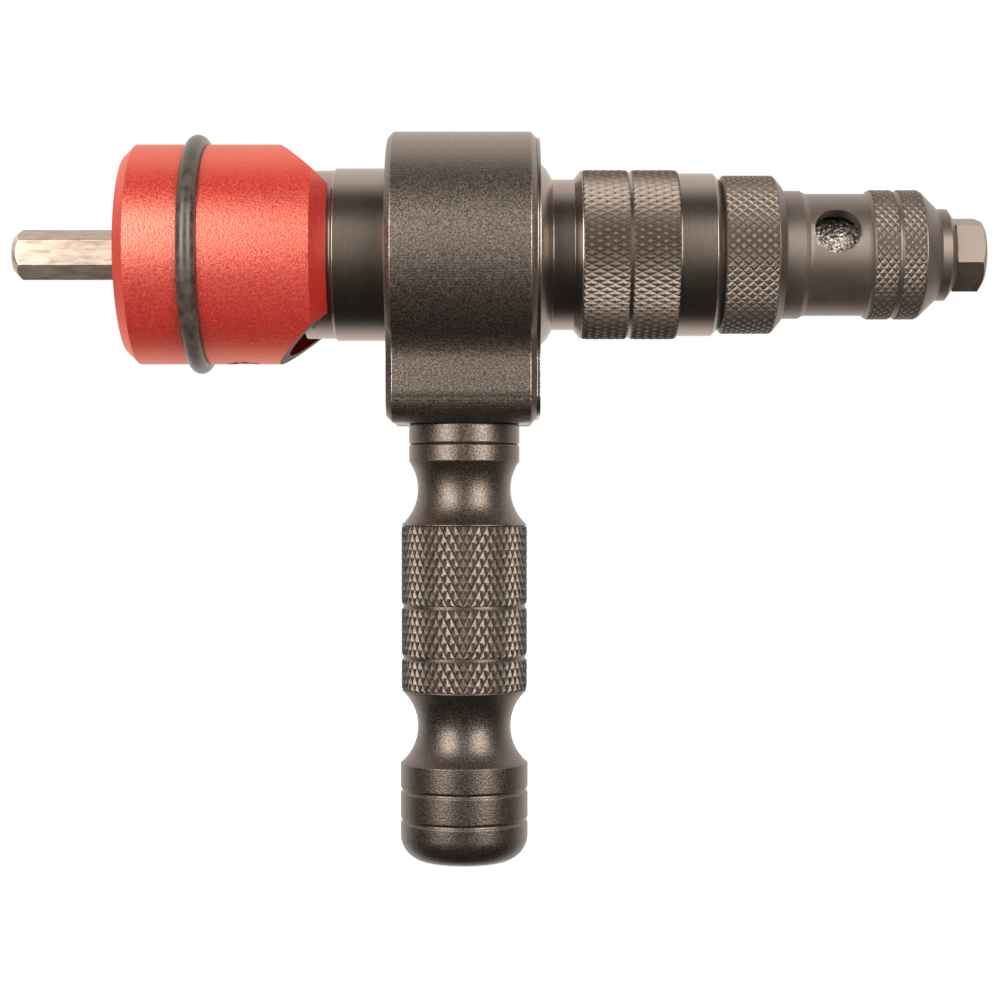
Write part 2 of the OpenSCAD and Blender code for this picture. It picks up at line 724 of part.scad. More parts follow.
module guide_pins() {
    inner = tube_bore_r + 0.4;
    color(bearing_steel) for (side = [0, 180]) rotate([side, 0, 0])
        translate([guide_pin_x, inner, 0]) rotate([-90, 0, 0])
            cylinder(r = guide_pin_r, h = guide_reach - inner);
}

module jaw_case() {
    color(steel_bright)
        turned([[case_bore_r, case_x0], [case_r - edge, case_x0], [case_r, case_x0 + edge],
                [case_r, case_x1 - 2 * edge], [case_r - 2 * edge, case_x1],
                [case_mouth_r, case_x1], [case_bore_r, case_x1 - cone_len]]);
}

// The wire of the jaw spring, as rings of points along a helix
module jaw_spring() {
    sides = 6;
    per_turn = 16;
    mean_r = pusher_tail_r + 0.5 + spring_wire_r;
    x0 = tube_x1 + spring_wire_r + 0.1;
    rise = pusher_front_x - pusher_flange_t - spring_wire_r - 0.1 - x0;
    rings = spring_turns * per_turn;
    points = [for (i = [0:rings]) let (a = 360 * i / per_turn, x = x0 + rise * i / rings)
              for (j = [0:sides - 1]) let (b = 360 * j / sides, r = mean_r + spring_wire_r * cos(b))
              [x + spring_wire_r * sin(b), r * cos(a), r * sin(a)]];
    sleeve = [for (i = [0:rings - 1]) for (j = [0:sides - 1]) let (k = (j + 1) % sides)
              [i * sides + j, (i + 1) * sides + j, (i + 1) * sides + k, i * sides + k]];
    ends = [[for (j = [0:sides - 1]) j], [for (j = [sides - 1:-1:0]) rings * sides + j]];
    color(bearing_steel) polyhedron(points, concat(sleeve, ends));
}

module jaw_pusher() {
    flange_x = pusher_front_x - pusher_flange_t;
    color(steel_bright)
        turned([[tube_bore_r, tube_x1 + run_gap], [pusher_tail_r, tube_x1 + run_gap],
                [pusher_tail_r, flange_x], [pusher_r, flange_x], [pusher_r, pusher_front_x],
                [tube_bore_r, pusher_front_x]]);
}

// One jaw. It is drawn closed, then set back along the cone to where the nosepiece holds it open.
module jaw() {
    front_r = case_mouth_r + (case_x1 - jaw_front_x) * tan(jaw_cone) - jaw_case_gap;
    rear_r = front_r + jaw_len * tan(jaw_cone);
    apex = jaw_gap / 2 / cos(30);
    reach = 2 * case_r;
    color(bearing_steel) translate([-jaw_travel, 0, jaw_out]) intersection() {
        turned([[jaw_grip_r, jaw_rear_x], [rear_r, jaw_rear_x], [front_r, jaw_front_x],
                [jaw_grip_r + jaw_mouth_depth, jaw_front_x],
                [jaw_grip_r, jaw_front_x - jaw_mouth_depth]]);
        translate([jaw_rear_x - cut, 0, 0]) rotate([90, 0, 90]) linear_extrude(jaw_len + 2 * cut)
            polygon([[0, apex], [reach, apex + reach * tan(30)], [0, 2 * reach],
                     [-reach, apex + reach * tan(30)]]);
    }
}

module jaw_1() {
    jaw();
}

module jaw_2() {
    rotate([120, 0, 0]) jaw();
}

module jaw_3() {
    rotate([240, 0, 0]) jaw();
}

hex_shank();
shank_lock_nut();
drum();
bumper_ring();
spindle();
drive_nut();
nut_retaining_ring();
rear_thrust_washer();
thrust_balls();
thrust_cage();
front_thrust_washer();
bearing_inner_race();
bearing_balls();
bearing_outer_race();
spindle_snap_ring();
collar();
cover_plate();
handle_lock_ring();
handle_stud();
handle_grip();
barrel();
lock_ring();
nose_housing();
nosepiece();
draw_tube();
guide_pins();
jaw_case();
jaw_spring();
jaw_pusher();
jaw_1();
jaw_2();
jaw_3();
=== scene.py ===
import math

import bpy
from mathutils import Matrix, Vector


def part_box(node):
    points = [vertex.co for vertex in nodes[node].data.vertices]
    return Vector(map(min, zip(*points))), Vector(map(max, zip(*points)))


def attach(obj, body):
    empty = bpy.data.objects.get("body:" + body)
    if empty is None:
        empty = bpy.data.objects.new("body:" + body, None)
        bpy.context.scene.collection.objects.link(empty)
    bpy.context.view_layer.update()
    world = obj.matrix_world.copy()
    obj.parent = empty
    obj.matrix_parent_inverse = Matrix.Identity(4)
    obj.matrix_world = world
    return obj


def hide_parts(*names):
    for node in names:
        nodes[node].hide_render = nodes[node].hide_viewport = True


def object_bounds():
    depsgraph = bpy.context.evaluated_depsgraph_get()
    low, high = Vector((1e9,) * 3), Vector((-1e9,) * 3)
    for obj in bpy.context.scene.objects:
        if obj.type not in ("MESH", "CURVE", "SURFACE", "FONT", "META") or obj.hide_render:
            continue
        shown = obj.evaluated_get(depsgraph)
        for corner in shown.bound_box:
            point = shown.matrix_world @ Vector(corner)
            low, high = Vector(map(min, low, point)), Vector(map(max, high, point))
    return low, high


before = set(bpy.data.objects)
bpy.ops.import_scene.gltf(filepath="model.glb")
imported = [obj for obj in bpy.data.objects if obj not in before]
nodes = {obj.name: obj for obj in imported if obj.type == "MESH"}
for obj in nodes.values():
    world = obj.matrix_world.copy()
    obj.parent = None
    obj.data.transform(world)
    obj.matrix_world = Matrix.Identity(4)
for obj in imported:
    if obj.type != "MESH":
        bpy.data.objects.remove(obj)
cad_low, cad_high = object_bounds()


# The studio: a pale floor, a white surround behind the tool and two soft lamps in front of it.
# The tool hangs level in front of the camera, which looks straight along +Y at the handle.
MM = 0.001
CAMERA_AT = (0.0889, -0.385, -0.0449)
CAMERA_LENS = 75.6
CAMERA_NEAREST = 0.01
LAMP_AIM = Vector((0.09, 0, -0.02))
LAMP_DISTANCE = 0.60
LAMP_SIDE = math.radians(38)
LAMP_HEIGHT = math.radians(15)
LAMP_WIDTH = 0.28
LAMP_TALL = 0.52
LAMP_POWER = 5.8
LAMP_COLOUR = (1.0, 0.94, 0.87)
WHITE = (1, 1, 1, 1)
SURROUND_MIDDLE = (0, 0.96, 0.28)
MIRRORED_COLOUR = (1.0, 0.92, 0.87, 1)
LIT_COLOUR = (1.0, 0.95, 0.90, 1)
LIT_STRENGTH = 0.24
FLOOR_SIZE = 4.0
FLOOR_GAP = 0.2
FLOOR_PAINT = (0.93, 0.93, 0.93, 1)
FLOOR_SHOWN = 0.80

camera = bpy.data.objects.new("camera", bpy.data.cameras.new("camera"))
camera.location = CAMERA_AT
camera.rotation_euler = (math.pi / 2, 0, 0)
camera.data.lens = CAMERA_LENS
camera.data.clip_start = CAMERA_NEAREST
bpy.context.scene.collection.objects.link(camera)
bpy.context.scene.camera = camera
bpy.context.scene.view_settings.view_transform = "Standard"


def soft_lamp(name, side):
    """A tall soft box that faces the tool, side being its angle from straight ahead."""
    data = bpy.data.lights.new(name, "AREA")
    data.shape = "RECTANGLE"
    data.size = LAMP_WIDTH
    data.size_y = LAMP_TALL
    data.energy = LAMP_POWER
    data.color = LAMP_COLOUR
    lamp = bpy.data.objects.new(name, data)
    away = Vector((math.sin(side) * math.cos(LAMP_HEIGHT), -math.cos(side) * math.cos(LAMP_HEIGHT),
                   math.sin(LAMP_HEIGHT)))
    lamp.location = LAMP_AIM + away * LAMP_DISTANCE
    lamp.rotation_euler = away.to_track_quat("Z", "Y").to_euler()
    bpy.context.scene.collection.objects.link(lamp)


soft_lamp("left_lamp", -LAMP_SIDE)
soft_lamp("right_lamp", LAMP_SIDE)


def feed(tree, socket, value):
    """A socket gets a plain value, or a link where the value is another node's output."""
    if isinstance(value, bpy.types.NodeSocket):
        tree.links.new(value, socket)
    else:
        socket.default_value = value


def node(tree, kind, inputs=None, **settings):
    """A shader node with its settings, and what feeds its inputs, by name or number."""
    made = tree.nodes.new(kind)
    for name, value in settings.items():
        setattr(made, name, value)
    for name, value in (inputs or {}).items():
        feed(tree, made.inputs[name], value)
    return made


def calculated(tree, operation, *values):
    """A sum or a product, of plain values or of other nodes' outputs."""
    made = node(tree, "ShaderNodeMath", operation=operation, inputs=dict(enumerate(values)))
    return made.outputs[0]


def light_the_surround():
    """A white surround behind the tool, dark in front of it where the camera and the room are."""
    world = bpy.data.worlds.new("surround")
    bpy.context.scene.world = world
    world.use_nodes = True
    tree = world.node_tree
    tree.nodes.clear()
    direction = node(tree, "ShaderNodeTexCoord")
    along = node(tree, "ShaderNodeVectorMath", operation="DOT_PRODUCT",
                 inputs={0: direction.outputs["Generated"], 1: SURROUND_MIDDLE})
    behind = node(tree, "ShaderNodeMapRange", interpolation_type="SMOOTHSTEP",
                  inputs={"Value": along.outputs["Value"], "From Min": -0.05, "From Max": 0.65,
                          "To Min": 0.02, "To Max": 1.55})
    mirrored = node(tree, "ShaderNodeBackground",
                    inputs={"Color": MIRRORED_COLOUR, "Strength": behind.outputs[0]})
    lit = node(tree, "ShaderNodeBackground",
               inputs={"Color": LIT_COLOUR, "Strength": LIT_STRENGTH})
    seen = node(tree, "ShaderNodeBackground", inputs={"Color": WHITE, "Strength": 1.0})
    path = node(tree, "ShaderNodeLightPath")
    glossy_or_lit = node(tree, "ShaderNodeMixShader", inputs={
        0: path.outputs["Is Glossy Ray"], 1: lit.outputs[0], 2: mirrored.outputs[0]})
    camera_or_rest = node(tree, "ShaderNodeMixShader", inputs={
        0: path.outputs["Is Camera Ray"], 1: glossy_or_lit.outputs[0], 2: seen.outputs[0]})
    node(tree, "ShaderNodeOutputWorld", inputs={0: camera_or_rest.outputs[0]})


def new_material(name, **sockets):
    """A material with plain values on its shader's own sockets."""
    material = bpy.data.materials.new(name)
    material.use_nodes = True
    shader = material.node_tree.nodes["Principled BSDF"]
    for socket, value in sockets.items():
        shader.inputs[socket.replace("_", " ")].default_value = value
    return material, material.node_tree, shader


def floor_board():
    """White board, which takes the tool's shadow and shows almost white to the camera."""
    material, tree, shader = new_material("floor_board", Base_Color=FLOOR_PAINT, Roughness=0.9,
                                          Emission_Color=WHITE)
    path = node(tree, "ShaderNodeLightPath")
    feed(tree, shader.inputs["Emission Strength"],
         calculated(tree, "MULTIPLY", path.outputs["Is Camera Ray"], FLOOR_SHOWN))
    return material


light_the_surround()
bpy.ops.object.select_all(action="DESELECT")
bpy.ops.mesh.primitive_plane_add(size=FLOOR_SIZE, location=(0, 0, cad_low.z - FLOOR_GAP * MM))
floor = bpy.context.object
floor.name = "floor"
floor.data.materials.append(floor_board())
floor.visible_glossy = False


# The drive shank is 8 mm hexagonal bar, nickel plated, which the drill's chuck holds.
# Its threaded root is screwed into the drum's back wall, and its free end has a turned chamfer.
ALONG = Vector((1, 0, 0))
LYING = (0, math.pi / 2, 0)
# Marked edges get a paler colour, which stands partly for rubbing and partly for painted highlight.
EDGE_MARK = "rubbed_and_highlit"
EASED_OVER = math.radians(28)
SMOOTH_UNDER = math.radians(35)
CREST_BEND = math.radians(6)
CREST_W = 0.2
MERGE_WITHIN = 1e-6
BEYOND = 1.0
SHANK_FLATS = 8.0
SHANK_TURN = math.pi / 2
SHANK_CHAMFER = 1.5
SHANK_SINK = 1.0
SHANK_ROOT_R = 6.0
ROOT_CHAMFER = 0.5
ROOT_END_CHAMFER = 0.8


def shader_group(name, inputs, outputs):
    """An empty shader node group with its sockets, and its input and output nodes."""
    group = bpy.data.node_groups.new(name, "ShaderNodeTree")
    for socket, value in inputs.items():
        made = group.interface.new_socket(socket, in_out="INPUT", socket_type="NodeSocketFloat")
        made.default_value = value
    for socket in outputs:
        group.interface.new_socket(socket, in_out="OUTPUT", socket_type="NodeSocketFloat")
    return group, group.nodes.new("NodeGroupInput"), group.nodes.new("NodeGroupOutput")


def own_place(tree):
    """The piece's own coordinates."""
    return node(tree, "ShaderNodeTexCoord").outputs["Object"]


def noise(tree, place, **inputs):
    """A noise over these coordinates, from 0 to 1."""
    return node(tree, "ShaderNodeTexNoise", inputs={"Vector": place, **inputs}).outputs["Fac"]


def ramp(tree, factor, low, high, start, end):
    """A colour that goes from low to high as the factor goes from start to end."""
    made = node(tree, "ShaderNodeValToRGB", inputs={0: factor})
    for element, place, colour in zip(made.color_ramp.elements, (start, end), (low, high)):
        element.position = place
        element.color = (*colour, 1)
    return made.outputs["Color"]


def spread(tree, factor, low, high, start=0.3, end=0.7):
    """A number that goes from low to high as the factor goes from start to end."""
    made = node(tree, "ShaderNodeMapRange", inputs={
        "Value": factor, "From Min": start, "From Max": end, "To Min": low, "To Max": high})
    return made.outputs[0]


def make_wear_and_highlight_edges():
    """Where the finish is paler on edges and knurl points, broken up by a fine noise: partly
    rubbing of the finish, partly a painted highlight along the edges. The edges are marked on
    each piece's own mesh, in the attribute that set_marks fills."""
    group, given, out = shader_group("wear_and_highlight_edges", {"Amount": 1.0, "Break": 1500.0}, ("Mask",))
    edge = node(group, "ShaderNodeAttribute", attribute_name=EDGE_MARK)
    speck = noise(group, own_place(group), Scale=given.outputs["Break"], Detail=3.0, Roughness=0.6)
    thin = spread(group, speck, low=0, high=1, start=0.30, end=0.62)
    worn = calculated(group, "MULTIPLY", edge.outputs["Fac"], thin)
    feed(group, out.inputs["Mask"], calculated(group, "MULTIPLY", worn, given.outputs["Amount"]))
    return group


wear_and_highlight_edges = make_wear_and_highlight_edges()


def placed_group(tree, group, **inputs):
    """The group in this material, with its own values."""
    return node(tree, "ShaderNodeGroup", node_tree=group, inputs=inputs)


def wear_and_highlight_colour(tree, body, worn, wear_and_highlight_amount=0.6):
    """The body's colour, with the paler one on the marked edges, for rubbing and a painted
    highlight.
    """
    edges = placed_group(tree, wear_and_highlight_edges, Amount=wear_and_highlight_amount)
    made = node(tree, "ShaderNodeMix", data_type="RGBA",
                inputs={"Factor": edges.outputs["Mask"], 6: body, 7: (*worn, 1)})
    return made.outputs[2]


def lay_on(tree, shader, colour, roughness, height, strength, distance):
    """The shader gets its colour and roughness, and a bump whose distance is in millimetres."""
    bump = node(tree, "ShaderNodeBump",
                inputs={"Strength": strength, "Distance": distance * MM, "Height": height})
    feed(tree, shader.inputs["Base Color"], colour)
    feed(tree, shader.inputs["Roughness"], roughness)
    feed(tree, shader.inputs["Normal"], bump.outputs[0])


def nickel_plate():
    """Satin nickel with faint lengthwise rubbing from the chuck and a few dull flecks."""
    material, tree, shader = new_material("nickel_plate", Metallic=0.9)
    stretch = node(tree, "ShaderNodeMapping",
                   inputs={"Vector": own_place(tree), "Scale": (0.25, 1.0, 1.0)})
    rub = noise(tree, stretch.outputs[0], Scale=900.0, Detail=5.0, Roughness=0.62)
    body = ramp(tree, rub, low=(0.21, 0.17, 0.145), high=(0.39, 0.325, 0.275), start=0.34, end=0.58)
    lay_on(tree, shader, colour=wear_and_highlight_colour(tree, body, worn=(0.80, 0.70, 0.60)),
           roughness=spread(tree, rub, low=0.35, high=0.50),
           height=rub, strength=0.25, distance=0.03)
    return material


def select_only(*pieces):
    """These pieces are selected and no others, and the first of them is the active one."""
    bpy.ops.object.select_all(action="DESELECT")
    for piece in pieces:
        piece.select_set(True)
    bpy.context.view_layer.objects.active = pieces[0]


def settle(name):
    """The primitive that was just added is named, and its place and size go into its mesh."""
    obj = bpy.context.object
    obj.name = name
    obj.data.name = name
    bpy.ops.object.transform_apply(location=True, rotation=True, scale=True)
    return obj


def start_edit(obj):
    """The mesh is open for editing, with all of it selected."""
    select_only(obj)
    bpy.ops.object.mode_set(mode="EDIT")
    bpy.ops.mesh.select_all(action="SELECT")


def end_edit():
    """All faces of the mesh in hand are turned outwards, and its editing ends."""
    bpy.ops.mesh.select_all(action="SELECT")
    bpy.ops.mesh.normals_make_consistent(inside=False)
    bpy.ops.object.mode_set(mode="OBJECT")


def turn(name, outline, around=160, form="ring"):
    """A turned piece: a circle that is extruded and scaled from one point of the outline to the
    next. The outline holds (radius, place along the axis) in millimetres. A ring's outline is
    closed, a solid gets a flat face at each end, and a sleeve has bare ends."""
    steps = outline[1:] + (outline[:1] if form == "ring" else [])
    radius, place = outline[0]
    bpy.ops.object.select_all(action="DESELECT")
    bpy.ops.mesh.primitive_circle_add(vertices=around, radius=radius * MM, fill_type="NOTHING",
                                      location=(place * MM, 0, 0), rotation=LYING)
    obj = settle(name)
    start_edit(obj)
    for next_radius, next_place in steps:
        move = ALONG * (next_place - place) * MM
        bpy.ops.mesh.extrude_region_move(TRANSFORM_OT_translate={"value": move})
        if next_radius != radius:
            scale = next_radius / radius
            bpy.ops.transform.resize(value=(1, scale, scale),
                                     center_override=(next_place * MM, 0, 0))
        radius, place = next_radius, next_place
    bpy.ops.mesh.select_all(action="SELECT")
    bpy.ops.mesh.remove_doubles(threshold=MERGE_WITHIN)
    if form == "solid":
        bpy.ops.mesh.select_all(action="DESELECT")
        bpy.ops.mesh.select_non_manifold()
        bpy.ops.mesh.fill_holes(sides=0)
    end_edit()
    return obj


def use_modifier(obj, kind, **settings):
    """A modifier with its settings, applied at once."""
    select_only(obj)
    modifier = obj.modifiers.new(kind.lower(), kind)
    for name, value in settings.items():
        setattr(modifier, name, value)
    bpy.ops.object.modifier_apply(modifier=modifier.name)


def cut_with(obj, tool, operation="DIFFERENCE"):
    """The tool is cut out of the piece, or what lies outside the tool is, and the tool goes."""
    use_modifier(obj, "BOOLEAN", operation=operation, object=tool, solver="EXACT")
    bpy.data.objects.remove(tool)


def set_marks(mesh, values):
    """Each corner of the mesh gets its mark for the paler edge colour, from 0 to 1: rubbing and
    painted highlight.
    """
    mesh.attributes.new(EDGE_MARK, "FLOAT", "POINT").data.foreach_set("value", values)


def mark_edges(mesh):
    """The crest of every rounded outer edge is marked, for the paler colour on it, which stands for
    rubbing and for a painted highlight. A crest is made of faces narrower than CREST_W that bend
    outwards more than a turned face does."""
    wide = set()
    faces_at = {}
    for face in mesh.polygons:
        corners = [mesh.vertices[i].co for i in face.vertices]
        longest = max((a - b).length for a, b in zip(corners, corners[1:] + corners[:1]))
        if face.area > CREST_W * MM * longest:
            wide.update(face.vertices)
        for key in face.edge_keys:
            faces_at.setdefault(key, []).append(face)
    values = [0.0] * len(mesh.vertices)
    for key, faces in faces_at.items():
        if len(faces) != 2 or faces[0].normal.angle(faces[1].normal, 0) < CREST_BEND:
            continue
        if faces[0].normal.dot(faces[1].center - faces[0].center) > 0:
            continue
        for corner in key:
            values[corner] = 0.0 if corner in wide else 1.0
    set_marks(mesh, values)


def ease_edges(obj, width, segments=2):
    """Every sharp edge is rounded by this width in millimetres, and the faces shade smooth."""
    use_modifier(obj, "BEVEL", width=width * MM, segments=segments, limit_method="ANGLE",
                 angle_limit=EASED_OVER, use_clamp_overlap=True)
    bpy.ops.object.shade_smooth_by_angle(angle=SMOOTH_UNDER)
    use_modifier(obj, "WEIGHTED_NORMAL", mode="FACE_AREA", keep_sharp=True)
    mark_edges(obj.data)


def dress(obj, body, slot, material, *replaced):
    """The piece gets its material, rides on its body and stands for its nodes."""
    obj.data.materials.clear()
    obj.data.materials.append(material)
    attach(obj, body)
    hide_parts(*replaced)


def sizes(name):
    """A node's lowest and highest corner, in millimetres."""
    low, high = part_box(name)
    return low / MM, high / MM


def cylinder(radius, length, at, turn_to=LYING, around=96, name="cutter"):
    """A plain cylinder in millimetres, used as a cutting tool or as the start of a piece."""
    bpy.ops.object.select_all(action="DESELECT")
    bpy.ops.mesh.primitive_cylinder_add(vertices=around, radius=radius * MM, depth=length * MM,
                                        location=[v * MM for v in at], rotation=turn_to)
    return settle(name)


def corner_of(flats):
    """How far a hexagon's corners lie from its middle, from its size across the flats."""
    return flats / 2 / math.cos(math.pi / 6)


def hexagon_bar(name, x0, x1, flats, turn_by, outline):
    """A hexagonal bar. What lies outside the turned solid of the outline is cut off it."""
    bar = cylinder(corner_of(flats), x1 - x0, ((x0 + x1) / 2, 0, 0), around=6, name=name)
    bar.data.transform(Matrix.Rotation(turn_by, 4, "X"))
    start_edit(bar)
    end_edit()
    cut_with(bar, turn("cone", outline, around=128, form="solid"), "INTERSECT")
    return bar


shank_low, shank_high = sizes("hex_shank")
drum_low, drum_high = sizes("drum")
shank_corner = corner_of(SHANK_FLATS)
shank = hexagon_bar("drive_shank", shank_low.x, drum_low.x + SHANK_SINK, SHANK_FLATS, SHANK_TURN, [
    (shank_corner - SHANK_CHAMFER, shank_low.x),
    (shank_corner + BEYOND, shank_low.x + SHANK_CHAMFER + BEYOND),
    (shank_corner + BEYOND, drum_low.x + SHANK_SINK + BEYOND)])
ease_edges(shank, width=0.22, segments=3)
shank_root = turn("shank_root", [
    (SHANK_ROOT_R - ROOT_CHAMFER, drum_low.x), (SHANK_ROOT_R, drum_low.x + ROOT_CHAMFER),
    (SHANK_ROOT_R, shank_high.x - ROOT_END_CHAMFER),
    (SHANK_ROOT_R - ROOT_END_CHAMFER, shank_high.x)], around=96, form="solid")
ease_edges(shank_root, width=0.1)
nickel = nickel_plate()
dress(shank, "rotor", "bright_steel", nickel, "hex_shank")
dress(shank_root, "rotor", "bright_steel", nickel, "hex_shank")


# The lock nut on the shank's root, a plated steel nut that is tightened against the drum's wall.
# It keeps the node's own shape and gets the shank's finish.
def finish_nodes(names, material):
    """Nodes that keep their own shape get a material on all their faces."""
    for name in names:
        nodes[name].data.materials.clear()
        nodes[name].data.materials.append(material)


finish_nodes(["shank_lock_nut"], nickel)


# The drum is one turned aluminium cup, bead blasted and anodised red. Broken mandrels collect in
# it and fall out of two sloped windows. A bar through its two round holes holds it still.
UPRIGHT = (0, 0, 0)
DRUM_CHAMFER = 2.0
DRUM_BACK = 6.0
DRUM_WALL = 1.6
DRUM_RIM = 2.8
DRUM_BEVEL = 2.6
DRUM_EDGE = 0.6
DRUM_PITCH = 1.2
WINDOW_LEN = 9.4
WINDOW_SLOPE = math.radians(42)
WINDOW_TOOL = (60, 60, 20)
CUT_FACING = 0.999
BAR_HOLE_R = 3.0
BAR_HOLE_X = 21.1
BUMPER_R = 1.75
BUMPER_X = 13.1
BUMPER_WALL = 2.6
SPINDLE_REAR_R = 15.3
SEAT = 0.03
GRAIN_SCALE = 2600.0
PITS_FINER_BY = 1.15
PITS_SHARE = 0.25


def arc(centre, radius, start, end, steps):
    """Points along an arc, with both ends, from angles in radians."""
    return [(centre[0] + radius * math.cos(start + (end - start) * i / steps),
             centre[1] + radius * math.sin(start + (end - start) * i / steps))
            for i in range(steps + 1)]


def stations(radius, start, end, pitch):
    """Points along a plain stretch, so that a hole cut in it leaves no long faces."""
    count = max(1, round((end - start) / pitch))
    return [(radius, start + (end - start) * i / count) for i in range(count + 1)]


drum_r = drum_high.y
bumper_x = drum_low.x + BUMPER_X
chamber_r = drum_r - DRUM_WALL
chamber_rear_r = drum_r - BUMPER_R - BUMPER_WALL
chamber_step = bumper_x + 2 * BUMPER_R
rim_r = SPINDLE_REAR_R + SEAT
drum = turn("drum_shell", [
    (SHANK_ROOT_R + SEAT, drum_low.x), (drum_r - DRUM_CHAMFER, drum_low.x),
    (drum_r, drum_low.x + DRUM_CHAMFER),
    *arc((drum_r, bumper_x), BUMPER_R + SEAT, -math.pi / 2, -3 * math.pi / 2, steps=10)[:-1],
    *stations(drum_r, bumper_x + BUMPER_R + SEAT, drum_high.x - DRUM_BEVEL, DRUM_PITCH),
    (rim_r + DRUM_EDGE, drum_high.x), (rim_r, drum_high.x),
    (rim_r, drum_high.x - DRUM_RIM),
    *reversed(stations(chamber_r, chamber_step + chamber_r - chamber_rear_r,
                       drum_high.x - DRUM_RIM, DRUM_PITCH)),
    (chamber_rear_r, chamber_step),
    (chamber_rear_r, drum_low.x + DRUM_BACK), (SHANK_ROOT_R + SEAT, drum_low.x + DRUM_BACK)],
    around=192)


def window_tool(side):
    """A block whose lower face lies on the window's slope, above or below the drum."""
    bpy.ops.object.select_all(action="DESELECT")
    bpy.ops.mesh.primitive_cube_add(size=1)
    bpy.context.object.dimensions = [v * MM for v in WINDOW_TOOL]
    block = settle("window_tool")
    block.data.transform(Matrix.Translation((0, 0, WINDOW_TOOL[2] / 2 * MM)))
    block.data.transform(Matrix.Rotation(WINDOW_SLOPE, 4, "Y"))
    block.data.transform(Matrix.Translation(((drum_high.x - WINDOW_LEN) * MM, 0, drum_r * MM)))
    if side < 0:
        block.data.transform(Matrix.Rotation(math.pi, 4, "X"))
    return block


for tool in (window_tool(1), window_tool(-1),
             cylinder(BAR_HOLE_R, 3 * drum_r, (drum_low.x + BAR_HOLE_X, 0, 0), UPRIGHT)):
    cut_with(drum, tool)
ease_edges(drum, width=0.16)


def make_blasted_grain():
    """The even pitting that glass beads leave: small round dents, with a few deeper ones."""
    group, given, out = shader_group("blasted_grain", {"Scale": GRAIN_SCALE},
                                     ("Height", "Speckle"))
    place = own_place(group)
    dents = noise(group, place, Scale=given.outputs["Scale"], Detail=2.0, Roughness=0.65)
    finer = calculated(group, "MULTIPLY", given.outputs["Scale"], PITS_FINER_BY)
    pits = node(group, "ShaderNodeTexVoronoi", feature="F1",
                inputs={"Vector": place, "Scale": finer})
    feed(group, out.inputs["Height"],
         calculated(group, "MULTIPLY_ADD", pits.outputs["Distance"], PITS_SHARE, dents))
    feed(group, out.inputs["Speckle"], dents)
    return group


blasted_grain = make_blasted_grain()


def anodised(name, dark, light, worn, rough, **sockets):
    """Bead-blasted, anodised aluminium: finely mottled all over, a little paler on edges, for
    rubbing and for a painted highlight along them.
    """
    material, tree, shader = new_material(name, **sockets)
    pits = placed_group(tree, blasted_grain, Scale=GRAIN_SCALE)
    speckle = pits.outputs["Speckle"]
    body = ramp(tree, speckle, dark, light, start=0.28, end=0.72)
    lay_on(tree, shader, colour=wear_and_highlight_colour(tree, body, worn),
           roughness=spread(tree, speckle, *rough, start=0.36, end=0.64),
           height=pits.outputs["Height"], strength=1.0, distance=0.05)
    return material


red = anodised("red_anodised", dark=(0.28, 0.003, 0.005), light=(0.41, 0.008, 0.009),
               worn=(0.52, 0.10, 0.07), rough=(0.31, 0.44), IOR=3.4, Metallic=0.2,
               Specular_Tint=(1.0, 0.58, 0.43, 1))
# The faces cut by the window slopes get a near-black red: painted shade for the shade in the
# windows.
red_cut_painted_shade = anodised("red_cut_painted_shade", dark=(0.030, 0.001, 0.001), light=(0.060, 0.002, 0.002),
                   worn=(0.10, 0.01, 0.01), rough=(0.50, 0.62), Specular_IOR_Level=0.15)
dress(drum, "rotor", "red_anodised", red, "drum")
drum.data.materials.append(red_cut_painted_shade)
# Faces that lie on a window's slope take the painted shade material.
for face in drum.data.polygons:
    for side in (1, -1):
        slope = (math.sin(WINDOW_SLOPE), 0, side * math.cos(WINDOW_SLOPE))
        if face.normal.dot(slope) > CUT_FACING:
            face.material_index = 1


# The bumper ring is a rubber cord ring that is rolled into the groove round the drum.
# It shines a little on its crown, and dust dulls it in small patches.
bpy.ops.object.select_all(action="DESELECT")
bpy.ops.mesh.primitive_torus_add(major_segments=192, minor_segments=32, major_radius=drum_r * MM,
                                 minor_radius=BUMPER_R * MM, location=(bumper_x * MM, 0, 0),
                                 rotation=LYING)
bumper = settle("bumper_cord")
bpy.ops.object.shade_smooth()


def moulded_rubber():
    """Dark rubber with a fine skin and patches of dust."""
    material, tree, shader = new_material("moulded_rubber")
    place = own_place(tree)
    dust = noise(tree, place, Scale=500.0, Detail=5.0, Roughness=0.6)
    skin = noise(tree, place, Scale=3500.0, Detail=2.0)
    lay_on(tree, shader, colour=ramp(tree, dust, low=(0.016, 0.012, 0.010),
                                     high=(0.050, 0.041, 0.033), start=0.35, end=0.70),
           roughness=spread(tree, dust, low=0.30, high=0.48),
           height=skin, strength=0.15, distance=0.03)
    return material


dress(bumper, "rotor", "rubber_ring", moulded_rubber(), "bumper_ring")


# The spindle is turned steel, blackened in oxide. The drum is screwed on its rear end, and its
# stepped shoulder runs in the collar. Its journal and its bore are hidden, and keep plain shapes.
SPINDLE_R = 15.7
SPINDLE_STEP = 0.7
SPINDLE_STEP_LEN = 0.4
SPINDLE_SHOULDER = 2.1
SPINDLE_BORE_R = 7.4
NUT_MOUTH_R = 12.3
JOURNAL_R = 10.0
DARK_METAL_TINT = (1.0, 0.85, 0.75, 1)


